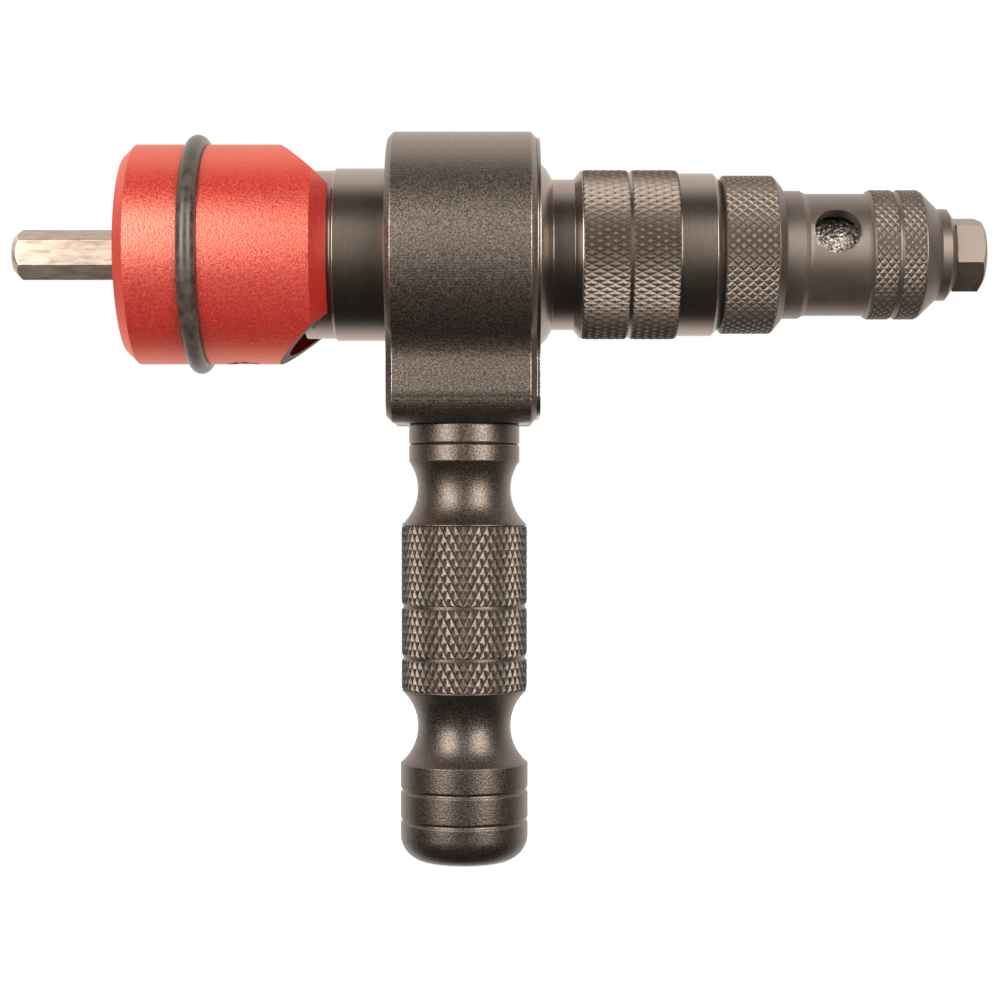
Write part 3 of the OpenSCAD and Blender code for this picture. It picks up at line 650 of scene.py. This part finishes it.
def make_turning_lines():
    """Fine feed marks of a lathe tool: rings round the barrel's axis, uneven along it."""
    group, given, out = shader_group("turning_lines", {"Scale": 9000.0, "Blotches": 260.0},
                                     ("Line", "Blotch"))
    place = own_place(group)
    parts = node(group, "ShaderNodeSeparateXYZ", inputs={0: place})
    lines = node(group, "ShaderNodeTexNoise", noise_dimensions="1D", inputs={
        "W": parts.outputs["X"], "Scale": given.outputs["Scale"], "Detail": 4.0,
        "Roughness": 0.7})
    blotch = noise(group, place, Scale=given.outputs["Blotches"], Detail=5.0, Roughness=0.6)
    feed(group, out.inputs["Line"], lines.outputs["Fac"])
    feed(group, out.inputs["Blotch"], blotch)
    return group


turning_lines = make_turning_lines()


def turned_steel(name, dark, light, worn, rough, line_bump=0.06, wear_and_highlight_amount=0.6, **sockets):
    """Turned steel with feed marks, soft blotches and edges in a lighter tone, for rubbing and
    for a painted highlight along them.
    """
    material, tree, shader = new_material(name, **sockets)
    marks = placed_group(tree, turning_lines)
    line = marks.outputs["Line"]
    body = ramp(tree, marks.outputs["Blotch"], dark, light, start=0.30, end=0.72)
    lay_on(tree, shader, colour=wear_and_highlight_colour(tree, body, worn, wear_and_highlight_amount),
           roughness=spread(tree, line, *rough), height=line, strength=line_bump, distance=0.02)
    return material


spindle_low, spindle_high = sizes("spindle")
collar_low, collar_high = sizes("collar")
nut_seat_x = sizes("drive_nut")[1].x
step_x = drum_high.x + SPINDLE_STEP
shoulder_x = collar_low.x + SPINDLE_SHOULDER
spindle = turn("spindle_sleeve", [
    (NUT_MOUTH_R, spindle_low.x), (SPINDLE_REAR_R, spindle_low.x), (SPINDLE_REAR_R, step_x),
    (SPINDLE_R, step_x + SPINDLE_STEP_LEN), (SPINDLE_R, shoulder_x), (JOURNAL_R, shoulder_x),
    (JOURNAL_R, spindle_high.x), (SPINDLE_BORE_R, spindle_high.x), (SPINDLE_BORE_R, nut_seat_x),
    (NUT_MOUTH_R, nut_seat_x)])
ease_edges(spindle, width=0.12)
black_oxide = turned_steel("black_oxide", dark=(0.002, 0.0015, 0.001), light=(0.006, 0.0045, 0.003),
                           worn=(0.10, 0.08, 0.065), rough=(0.25, 0.33), IOR=3.0,
                           Specular_Tint=DARK_METAL_TINT)
dress(spindle, "rotor", "black_steel", black_oxide, "spindle")


# The screw drive and its bearings are sealed inside the spindle and the collar: the bronze nut,
# its retaining ring, a thrust bearing with a bronze cage, a ball bearing and its snap ring.
def bright_bearing():
    """Ground bearing steel with a thin, uneven film of oil."""
    material, tree, shader = new_material("bearing_steel", Metallic=1.0)
    film = placed_group(tree, turning_lines, Scale=14000.0, Blotches=700.0)
    blotch = film.outputs["Blotch"]
    lay_on(tree, shader, colour=ramp(tree, blotch, low=(0.52, 0.50, 0.47),
                                     high=(0.76, 0.76, 0.77), start=0.30, end=0.60),
           roughness=spread(tree, blotch, low=0.12, high=0.30),
           height=film.outputs["Line"], strength=0.05, distance=0.02)
    return material


bearing_steel = bright_bearing()
bronze = turned_steel("turned_bronze", dark=(0.42, 0.24, 0.09), light=(0.62, 0.38, 0.17),
                      worn=(0.80, 0.58, 0.32), rough=(0.28, 0.42), Metallic=1.0)
finish_nodes(["drive_nut", "thrust_cage"], bronze)
finish_nodes(["nut_retaining_ring", "rear_thrust_washer", "thrust_balls", "front_thrust_washer",
              "bearing_inner_race", "bearing_balls", "bearing_outer_race", "spindle_snap_ring"],
             bearing_steel)


# The collar is one aluminium block, bead blasted and anodised black. Its round top holds the
# bearings, and the handle is screwed into the flat boss below.
BOSS_W = 28.4
BOSS_CORNER_R = 5.0
BOSS_BLEND_R = 7.0
COLLAR_CHAMFER = 1.1
TOP_START = math.radians(89)
BEARING_BORE_R = 15.53
RUN_GAP = 0.3
SAME_PLACE = 1e-7
BLACK_DYE = {"dark": (0.002, 0.0015, 0.001), "light": (0.009, 0.0065, 0.0045),
             "worn": (0.10, 0.08, 0.065)}
collar_r = collar_high.z
boss_drop = -collar_low.z


def collar_outline(inset):
    """The collar seen along the barrel: a round top that flows into a boss with round corners."""
    top_r = collar_r - inset
    half_w = BOSS_W / 2 - inset
    blend_r = BOSS_BLEND_R + inset
    corner_r = BOSS_CORNER_R - inset
    low = boss_drop - inset
    across = half_w + blend_r
    down = math.sqrt((top_r + blend_r) ** 2 - across ** 2)
    tangent = math.atan2(down, across)
    half = [(0.0, top_r), *arc((0, 0), top_r, TOP_START, -tangent, steps=110),
            *arc((across, -down), blend_r, math.pi - tangent, math.pi, steps=24)[1:],
            *arc((half_w - corner_r, corner_r - low), corner_r, 0, -math.pi / 2, steps=28)]
    return half + [(-y, z) for y, z in reversed(half[1:])]


def plate_from(name, outline, x0, x1):
    """A circle that is given the outline's points and extruded along the barrel."""
    bpy.ops.object.select_all(action="DESELECT")
    bpy.ops.mesh.primitive_circle_add(vertices=len(outline), radius=1, fill_type="NGON")
    obj = settle(name)
    for vertex, (y, z) in zip(obj.data.vertices, outline):
        vertex.co = (x0 * MM, y * MM, z * MM)
    start_edit(obj)
    bpy.ops.mesh.extrude_region_move(TRANSFORM_OT_translate={"value": ALONG * (x1 - x0) * MM})
    end_edit()
    return obj


def chamfer_ends(obj, width):
    """The edges round both end faces are cut back at 45 degrees."""
    mesh = obj.data
    places = [vertex.co.x for vertex in mesh.vertices]
    start_edit(obj)
    bpy.ops.mesh.select_all(action="DESELECT")
    bpy.ops.object.mode_set(mode="OBJECT")
    for edge in mesh.edges:
        ends = [mesh.vertices[i].co.x for i in edge.vertices]
        edge.select = any(all(abs(x - face_x) < SAME_PLACE for x in ends)
                          for face_x in (min(places), max(places)))
    bpy.ops.object.mode_set(mode="EDIT")
    bpy.ops.mesh.select_mode(type="EDGE")
    bpy.ops.mesh.bevel(offset=width * MM, segments=1, offset_type="OFFSET")
    bpy.ops.mesh.select_mode(type="VERT")
    bpy.ops.object.mode_set(mode="OBJECT")


collar = plate_from("collar_block", collar_outline(0), collar_low.x, collar_high.x)
chamfer_ends(collar, COLLAR_CHAMFER)
for tool in (cylinder(BEARING_BORE_R, length=60, at=(collar_high.x, 0, 0), around=160),
             cylinder(SPINDLE_R + RUN_GAP, length=2 * (SPINDLE_SHOULDER + RUN_GAP),
                      at=(collar_low.x, 0, 0), around=160)):
    cut_with(collar, tool)
ease_edges(collar, width=0.14)
collar_black = anodised("collar_black", **BLACK_DYE, rough=(0.30, 0.44), IOR=2.45,
                        Specular_Tint=DARK_METAL_TINT)
dress(collar, "frame", "black_anodised", collar_black, "collar")


# The cover plate is a thin blackened steel sheet of the collar's outline, clamped on its front
# face by the barrel's flange. It keeps the bearings in and shines more than the collar does.
plate_low, plate_high = sizes("cover_plate")
plate = plate_from("front_plate", collar_outline(COLLAR_CHAMFER), plate_low.x, plate_high.x)
cut_with(plate, cylinder(BEARING_BORE_R, length=20, at=(plate_low.x, 0, 0), around=160))
ease_edges(plate, width=0.1)
dress(plate, "frame", "black_steel", black_oxide, "cover_plate")


# The barrel is turned steel, blackened. Its rear plug is screwed into the collar, its flange
# holds the cover plate, and two bands of diamond knurling give grip for unscrewing it.
FLANGE_R = 16.8
FLANGE_T = 1.3
FLANGE_LEN = 2.3
NECK_R = 13.7
NECK_LEN = 7.5
FLARE_LEN = 1.3
BARREL_KNURL_R = 15.4
BARREL_FRONT_R = 14.8
FRONT_LEN = 7.6
FRONT_CHAMFER = 1.2
PLUG_R = 15.5
BARREL_BORE_R = 7.3
SOCKET_R = 10.53
SOCKET_X = 118.0
REAR_BORE_R = 12.5
REAR_WEB_X = 89.5
GROOVE_W = 0.5
LIP = 0.12
LIP_DROP = 0.1
LIP_LEAD = 0.05
FRONT_LIP_DROP = 0.15
BAND_DEPTH = 0.4
KNURL_DEPTH = 0.34
KNURL_POINT = 0.68
barrel_low, barrel_high = sizes("barrel")
knurl_start = plate_high.x + NECK_LEN
knurl_end = barrel_high.x - FRONT_LEN
knurl_middle = (knurl_start + knurl_end) / 2
root_r = BARREL_KNURL_R - KNURL_DEPTH
lip_r = BARREL_KNURL_R - LIP_DROP
barrel = turn("barrel_body", [
    (REAR_BORE_R, barrel_low.x), (PLUG_R, barrel_low.x), (PLUG_R, plate_high.x),
    (FLANGE_R, plate_high.x), (BARREL_KNURL_R, plate_high.x + FLANGE_T),
    (NECK_R, plate_high.x + FLANGE_LEN), (NECK_R, knurl_start - FLARE_LEN),
    (lip_r, knurl_start - LIP_LEAD), (lip_r, knurl_start + LIP), (root_r, knurl_start + LIP),
    (root_r, knurl_end - LIP), (BARREL_KNURL_R - FRONT_LIP_DROP, knurl_end - LIP),
    (BARREL_FRONT_R, knurl_end), (BARREL_FRONT_R, barrel_high.x - FRONT_CHAMFER),
    (BARREL_FRONT_R - FRONT_CHAMFER, barrel_high.x),
    (SOCKET_R, barrel_high.x), (SOCKET_R, SOCKET_X), (BARREL_BORE_R, SOCKET_X),
    (BARREL_BORE_R, REAR_WEB_X), (REAR_BORE_R, REAR_WEB_X)])
ease_edges(barrel, width=0.1)


def knurled_band(name, x0, x1, radius, depth, count, rows, point):
    """A band of diamond knurling: a tube of squares, each poked to four triangles that join into
    diamonds. Each diamond is inset and raised to a point, which leaves crossing grooves. Point is
    how far the inset goes, from 0, a flat top, to 1, a sharp one."""
    root = radius - depth
    around = 2 * math.pi * radius / count
    along = (x1 - x0) / rows
    inside = around * along / 2 / math.hypot(around, along)
    band = turn(name, [(root, x0 + along * i) for i in range(rows + 1)], around=count,
                form="sleeve")
    mesh = band.data
    start_edit(band)
    corners = len(mesh.vertices)
    bpy.ops.mesh.poke()
    bpy.ops.mesh.select_all(action="DESELECT")
    bpy.ops.object.mode_set(mode="OBJECT")
    for vertex in mesh.vertices:
        scale = root * MM / math.hypot(vertex.co.y, vertex.co.z)
        vertex.co.y *= scale
        vertex.co.z *= scale
    uses = {}
    for face in mesh.polygons:
        for key in face.edge_keys:
            uses[key] = uses.get(key, 0) + 1
    for edge in mesh.edges:
        edge.select = max(edge.vertices) < corners and uses[edge.key] == 2
    bpy.ops.object.mode_set(mode="EDIT")
    bpy.ops.mesh.select_mode(type="EDGE")
    bpy.ops.mesh.dissolve_edges(use_verts=False)
    bpy.ops.mesh.select_mode(type="FACE")
    bpy.ops.mesh.select_all(action="SELECT")
    bpy.ops.mesh.inset(thickness=point * inside * MM, depth=depth * MM, use_individual=True)
    bpy.ops.object.mode_set(mode="OBJECT")
    # The crests are marked for the paler edge colour: rubbing and a painted highlight on the
    # points.
    crests = {corner for face in mesh.polygons if face.select for corner in face.vertices}
    set_marks(mesh, [1.0 if i in crests else 0.0 for i in range(len(mesh.vertices))])
    bpy.ops.object.mode_set(mode="EDIT")
    bpy.ops.mesh.select_all(action="DESELECT")
    bpy.ops.mesh.select_mode(type="VERT")
    bpy.ops.mesh.select_non_manifold()
    bpy.ops.mesh.extrude_region_move()
    inner = (root - BAND_DEPTH) / root
    bpy.ops.transform.resize(value=(1, inner, inner), center_override=((x0 + x1) / 2 * MM, 0, 0))
    bpy.ops.mesh.bridge_edge_loops()
    end_edit()
    return band


def join(first, *others):
    """The pieces become one object, the first one."""
    select_only(first, *others)
    bpy.ops.object.join()


def add_bands(obj, bands, material):
    """Knurled bands with their own material become part of the piece."""
    for band in bands:
        band.data.materials.append(material)
    join(obj, *bands)


dress(barrel, "frame", "black_steel", black_oxide, "barrel")
knurled_steel = turned_steel("knurled_steel", dark=(0.012, 0.009, 0.007),
                             light=(0.022, 0.017, 0.014), worn=(0.07, 0.055, 0.045),
                             rough=(0.40, 0.52), line_bump=0.05, wear_and_highlight_amount=0.5, IOR=1.95,
                             Specular_Tint=DARK_METAL_TINT)
add_bands(barrel, [knurled_band("barrel_band", x0, x1, BARREL_KNURL_R, KNURL_DEPTH, count=70,
                                rows=3, point=KNURL_POINT)
                   for x0, x1 in ((knurl_start + LIP, knurl_middle - GROOVE_W / 2),
                                  (knurl_middle + GROOVE_W / 2, knurl_end - LIP))], knurled_steel)


# The lock ring is a knurled, blackened steel nut. It is screwed back against the barrel to hold
# the nose housing where it was set, and its front edge is turned to a wide chamfer.
LOCK_R = 14.4
LOCK_REAR_CHAMFER = 1.2
LOCK_REAR_LEN = 0.6
LOCK_KNURL_DEPTH = 0.28
LOCK_BAND_START = 0.45
LOCK_BAND_OVER = 0.1
LOCK_STEP = 0.25
LOCK_STEP_LEN = 0.15
LOCK_CHAMFER = 1.7
LOCK_FACE_W = 0.6
NOSE_COLLAR_R = 11.65
lock_low, lock_high = sizes("lock_ring")
lock_root = LOCK_R - LOCK_KNURL_DEPTH
lock_band_x = lock_high.x - LOCK_CHAMFER
lock = turn("lock_nut", [
    (SOCKET_R, lock_low.x), (LOCK_R - LOCK_REAR_CHAMFER, lock_low.x),
    (lock_root, lock_low.x + LOCK_REAR_LEN), (lock_root, lock_band_x),
    (LOCK_R - LOCK_STEP, lock_band_x + LOCK_STEP_LEN),
    (NOSE_COLLAR_R + LOCK_FACE_W, lock_high.x), (SOCKET_R, lock_high.x)])
ease_edges(lock, width=0.1)
dress(lock, "frame", "black_steel", knurled_steel, "lock_ring")
add_bands(lock, [knurled_band("lock_band", lock_low.x + LOCK_BAND_START,
                              lock_band_x + LOCK_BAND_OVER, LOCK_R, LOCK_KNURL_DEPTH, count=50,
                              rows=5, point=0.5)], knurled_steel)


# The nose housing is turned from blackened steel and screwed into the barrel. It carries two thin
# knurled bands, a coned front and one round hole, through which the greased jaw case shows.
NOSE_THREAD_R = 10.5
NOSE_R = 11.1
NOSE_KNURL_R = 11.8
NOSE_KNURL_DEPTH = 0.24
NOSE_BORE_R = 8.5
NOSE_COLLAR_LEN = 3.3
NOSE_STEP_LEN = 1.0
NOSE_PITCH = 0.8
NOSE_WALL_X = 163.8
NOSE_TAIL_R = 4.93
PORT_R = 4.15
PORT_X = 9.1
PORT_ANGLE = math.radians(18)
PORT_TOOL_LEN = 20
REAR_BAND = 4.3
FRONT_BAND = 4.1
BAND_GAP = 0.7
BAND_GAP_DEPTH = 0.15
BAND_LEAD = 0.5
BAND_EDGE = 0.15
CONE_LEN = 6.5
CONE_DROP = 0.35
CONE_LEAD = 0.3
RIM_R = 8.35
RIM_LEN = 1.7
RIM_CHAMFER = 1.3
TIP_R = 6.6
nose_low, nose_high = sizes("nose_housing")
front_band_x1 = nose_high.x - CONE_LEN
front_band_x0 = front_band_x1 - FRONT_BAND
rear_band_x1 = front_band_x0 - BAND_GAP
rear_band_x0 = rear_band_x1 - REAR_BAND
nose_root = NOSE_KNURL_R - NOSE_KNURL_DEPTH
gap_r = nose_root - BAND_GAP_DEPTH
nose_x = lock_high.x
nose = turn("nose_body", [
    (NOSE_THREAD_R, nose_low.x), (NOSE_THREAD_R, nose_x),
    (NOSE_COLLAR_R, nose_x), (NOSE_COLLAR_R, nose_x + NOSE_COLLAR_LEN),
    *stations(NOSE_R, nose_x + NOSE_COLLAR_LEN + NOSE_STEP_LEN, rear_band_x0 - BAND_LEAD,
              NOSE_PITCH),
    (nose_root, rear_band_x0 - BAND_EDGE), (nose_root, rear_band_x1),
    (gap_r, rear_band_x1 + BAND_EDGE), (gap_r, front_band_x0 - BAND_EDGE),
    (nose_root, front_band_x0), (nose_root, front_band_x1),
    (NOSE_KNURL_R - CONE_DROP, front_band_x1 + CONE_LEAD),
    (RIM_R, nose_high.x - RIM_LEN - RIM_CHAMFER), (RIM_R, nose_high.x - RIM_CHAMFER),
    (TIP_R, nose_high.x), (NOSE_TAIL_R, nose_high.x), (NOSE_TAIL_R, NOSE_WALL_X),
    *reversed(stations(NOSE_BORE_R, nose_low.x, NOSE_WALL_X, NOSE_PITCH))])
port = cylinder(PORT_R, PORT_TOOL_LEN, (0, 0, 0), UPRIGHT)
port.data.transform(Matrix.Translation((0, 0, PORT_TOOL_LEN / 2 * MM)))
port.data.transform(Matrix.Rotation(math.pi / 2 - PORT_ANGLE, 4, "X"))
port.data.transform(Matrix.Translation(((nose_x + PORT_X) * MM, 0, 0)))
cut_with(nose, port)
ease_edges(nose, width=0.1)
nose_steel = turned_steel("nose_steel", dark=(0.014, 0.011, 0.009), light=(0.028, 0.022, 0.018),
                          worn=(0.12, 0.10, 0.08), rough=(0.36, 0.49), line_bump=0.08, wear_and_highlight_amount=0.5,
                          IOR=2.15, Specular_Tint=DARK_METAL_TINT)
dress(nose, "frame", "black_steel", nose_steel, "nose_housing")
add_bands(nose, [knurled_band("nose_band", x0, x1, NOSE_KNURL_R, NOSE_KNURL_DEPTH, count=40,
                              rows=3, point=0.6)
                 for x0, x1 in ((rear_band_x0, rear_band_x1), (front_band_x0, front_band_x1))],
          knurled_steel)


# The nosepiece is a hexagonal steel plug with a round hole for the mandrel. Its tail holds the
# jaws open at rest, and it is changed for another to suit another rivet.
TIP_FLATS = 12.2
TIP_TURN = math.radians(47)
TIP_CHAMFER = 1.0
TIP_SLOPE = 1.6
TIP_CONE_OVER = 2
MANDREL_R = 1.75
SPREADER_R = 2.9
SPREADER_EDGE = 0.1
SPREADER_CONE = 1.05
SPREADER_END = 0.8
TAIL_R = 4.9
TAIL_START = 2.8
TAIL_SINK = 0.5
tip_low, tip_high = sizes("nosepiece")
tip_corner = corner_of(TIP_FLATS)
tip = hexagon_bar("nose_plug", nose_high.x, tip_high.x, TIP_FLATS, TIP_TURN - math.pi / 2, [
    (tip_corner + TIP_CONE_OVER, nose_high.x - BEYOND),
    (tip_corner + TIP_CONE_OVER, tip_high.x - TIP_CHAMFER - TIP_CONE_OVER / TIP_SLOPE),
    (tip_corner - TIP_SLOPE * TIP_CHAMFER, tip_high.x)])
cut_with(tip, cylinder(MANDREL_R, length=40, at=(tip_high.x, 0, 0), around=64))
ease_edges(tip, width=0.14, segments=3)
tail = turn("nose_plug_tail", [
    (MANDREL_R, tip_low.x), (MANDREL_R + SPREADER_EDGE, tip_low.x),
    (SPREADER_R, tip_low.x + SPREADER_CONE), (SPREADER_R, NOSE_WALL_X + SPREADER_END),
    (TAIL_R, NOSE_WALL_X + TAIL_START), (TAIL_R, nose_high.x + TAIL_SINK),
    (MANDREL_R, nose_high.x + TAIL_SINK)], around=64)
bpy.ops.object.shade_smooth_by_angle(angle=SMOOTH_UNDER)
join(tip, tail)
dress(tip, "frame", "black_steel", nose_steel, "nosepiece")


# The handle is turned aluminium, bead blasted and anodised black, on a steel stud. It has a lock
# ring, a ferrule, two hollow necks, a knurled grip between them and a round end with two grooves.
FERRULE_R = 10.1
FERRULE_LEN = 3.05
FERRULE_EDGE = 0.3
NECK_CURVE_R = 8.7
HANDLE_NECK_R = 8.48
GRIP_R = 11.5
GRIP_LEN = 30.2
GRIP_GROOVES = (0.49, 0.8)
GRIP_GROOVE_W = 0.5
GRIP_KNURL_DEPTH = 0.34
GRIP_KNURL_LEN = 2.74
POMMEL_R = 11.65
POMMEL_LEN = 17.85
POMMEL_EDGE_R = 4.8
POMMEL_GROOVES = (0.27, 0.58)
STUD_BORE_R = 5.03
GROOVE_SHAPE = ((0, -1), (0.6, -0.55), (1, 0), (0.6, 0.55), (0, 1))
grip_low, grip_high = sizes("handle_grip")
ring_low, ring_high = sizes("handle_lock_ring")
handle_x = (grip_low.x + grip_high.x) / 2
neck_centre_r = HANDLE_NECK_R + NECK_CURVE_R


def neck_reach(radius):
    """How far along the handle the hollow of a neck goes before it comes out at this radius."""
    return math.sqrt(NECK_CURVE_R ** 2 - (neck_centre_r - radius) ** 2)


def neck(centre, upper_r, lower_r):
    """Points down the hollow curve of a neck, between its upper radius and its lower one."""
    start = math.pi + math.asin(neck_reach(upper_r) / NECK_CURVE_R)
    end = math.pi - math.asin(neck_reach(lower_r) / NECK_CURVE_R)
    return arc((neck_centre_r, centre), NECK_CURVE_R, start, end, steps=14)[1:-1]


def groove(place, radius, depth, width):
    """A groove of round section, across the handle's outline."""
    return [(radius - down * depth, place + along * width) for down, along in GROOVE_SHAPE]


handle_top = -grip_high.z
ferrule_end = handle_top + FERRULE_LEN
upper_neck = ferrule_end + neck_reach(FERRULE_R)
grip_start = upper_neck + neck_reach(GRIP_R)
grip_end = grip_start + GRIP_LEN
lower_neck = grip_end + neck_reach(GRIP_R)
pommel_start = lower_neck + neck_reach(POMMEL_R)
pommel_end = -grip_low.z
grip_root = GRIP_R - GRIP_KNURL_DEPTH
grip_lip_r = GRIP_R - LIP_DROP
handle_outline = [
    (STUD_BORE_R, handle_top), (FERRULE_R - FERRULE_EDGE, handle_top),
    (FERRULE_R, handle_top + FERRULE_EDGE), (FERRULE_R, ferrule_end),
    *neck(upper_neck, FERRULE_R, GRIP_R),
    (grip_lip_r, grip_start - LIP_LEAD), (grip_lip_r, grip_start + LIP),
    (grip_root, grip_start + LIP), (grip_root, grip_end - LIP),
    (grip_lip_r, grip_end - LIP), (grip_lip_r, grip_end + LIP_LEAD),
    *neck(lower_neck, GRIP_R, POMMEL_R), (POMMEL_R, pommel_start)]
for part in POMMEL_GROOVES:
    handle_outline += groove(pommel_start + part * POMMEL_LEN, POMMEL_R, depth=0.3, width=0.5)
handle_outline += arc((POMMEL_R - POMMEL_EDGE_R, pommel_end - POMMEL_EDGE_R), POMMEL_EDGE_R,
                      0, math.pi / 2, steps=12)


def hang_handle(obj):
    """A piece that was turned about the barrel's axis is stood upright under the collar."""
    upright = Matrix.Rotation(math.pi / 2, 4, "Y")
    obj.data.transform(Matrix.Translation((handle_x * MM, 0, 0)) @ upright)
    return obj


handle_black = anodised("handle_black", **BLACK_DYE, rough=(0.31, 0.47), IOR=1.87,
                        Specular_Tint=DARK_METAL_TINT)
grip = turn("handle_body", handle_outline, form="solid")
ease_edges(grip, width=0.1)
band_ends = [grip_start + LIP]
for part in GRIP_GROOVES:
    groove_x = grip_start + part * GRIP_LEN
    band_ends += [groove_x - GRIP_GROOVE_W / 2, groove_x + GRIP_GROOVE_W / 2]
band_ends.append(grip_end - LIP)
join(grip, *[knurled_band("grip_band", x0, x1, GRIP_R, GRIP_KNURL_DEPTH, count=48,
                          rows=round((x1 - x0) / GRIP_KNURL_LEN), point=KNURL_POINT)
             for x0, x1 in zip(band_ends[::2], band_ends[1::2])])
hang_handle(grip)
dress(grip, "frame", "black_anodised", handle_black, "handle_grip")

ring_top = -ring_high.z
ring_end = -ring_low.z
handle_ring = hang_handle(turn("handle_nut", [
    (STUD_BORE_R, ring_top), (FERRULE_R - FERRULE_EDGE, ring_top),
    (FERRULE_R, ring_top + FERRULE_EDGE), (FERRULE_R, ring_end - FERRULE_EDGE),
    (FERRULE_R - FERRULE_EDGE, ring_end), (STUD_BORE_R, ring_end)]))
ease_edges(handle_ring, width=0.1)
dress(handle_ring, "frame", "black_anodised", handle_black, "handle_lock_ring")
finish_nodes(["handle_stud"], nickel)


# The draw tube with its guide pins and the jaw case are ground steel, and the case holds the
# pusher, its spring and three hardened jaws. Old grease and filings are thick on the case, and
# glitter through the round hole of the nose housing.
CASE_R = 8.2
CASE_BORE_R = 7.05
CASE_MOUTH_R = 3.52
CASE_CONE = math.radians(12)
CASE_REAR_CHAMFER = 0.6
CASE_FRONT_CHAMFER = 1.2
PAINTED_SHADE_FROM = 1.5
PAINTED_SHADE_TO = 5.5


def greased_steel():
    """Steel under lumpy grease: dark wet patches between bright bare ones, and the colour
    darker towards the top as painted shade.
    """
    material, tree, shader = new_material("greased_steel", Metallic=0.9, Coat_Weight=0.6,
                                          Coat_Roughness=0.12)
    place = own_place(tree)
    lumps = noise(tree, place, Scale=850.0, Detail=5.0, Roughness=0.65, Distortion=1.2)
    scrapes = node(tree, "ShaderNodeTexVoronoi", feature="F1",
                   inputs={"Vector": place, "Scale": 1500.0}).outputs["Distance"]
    # Higher up the case the colour is pushed darker: painted shade on its upper part.
    parts = node(tree, "ShaderNodeSeparateXYZ", inputs={0: place})
    painted_shade_on_top = spread(tree, parts.outputs["Z"], low=1.0, high=0.6, start=PAINTED_SHADE_FROM * MM,
                     end=PAINTED_SHADE_TO * MM)
    lay_on(tree, shader, colour=ramp(tree, calculated(tree, "MULTIPLY", lumps, painted_shade_on_top),
                                     low=(0.025, 0.021, 0.018), high=(0.32, 0.29, 0.26),
                                     start=0.34, end=0.62),
           roughness=spread(tree, scrapes, low=0.15, high=0.40),
           height=calculated(tree, "ADD", lumps, scrapes), strength=0.9, distance=0.25)
    return material


greased = greased_steel()
case_low, case_high = sizes("jaw_case")
cone_len = (CASE_BORE_R - CASE_MOUTH_R) / math.tan(CASE_CONE)
case = turn("jaw_sleeve", [
    (CASE_BORE_R, case_low.x), (CASE_R - CASE_REAR_CHAMFER, case_low.x),
    (CASE_R, case_low.x + CASE_REAR_CHAMFER), (CASE_R, case_high.x - CASE_FRONT_CHAMFER),
    (CASE_R - CASE_FRONT_CHAMFER, case_high.x), (CASE_MOUTH_R, case_high.x),
    (CASE_BORE_R, case_high.x - cone_len)])
ease_edges(case, width=0.1)
dress(case, "puller", "bright_steel", greased, "jaw_case")
finish_nodes(["draw_tube", "jaw_pusher"], greased)
finish_nodes(["guide_pins", "jaw_spring", "jaw_1", "jaw_2", "jaw_3"], bearing_steel)
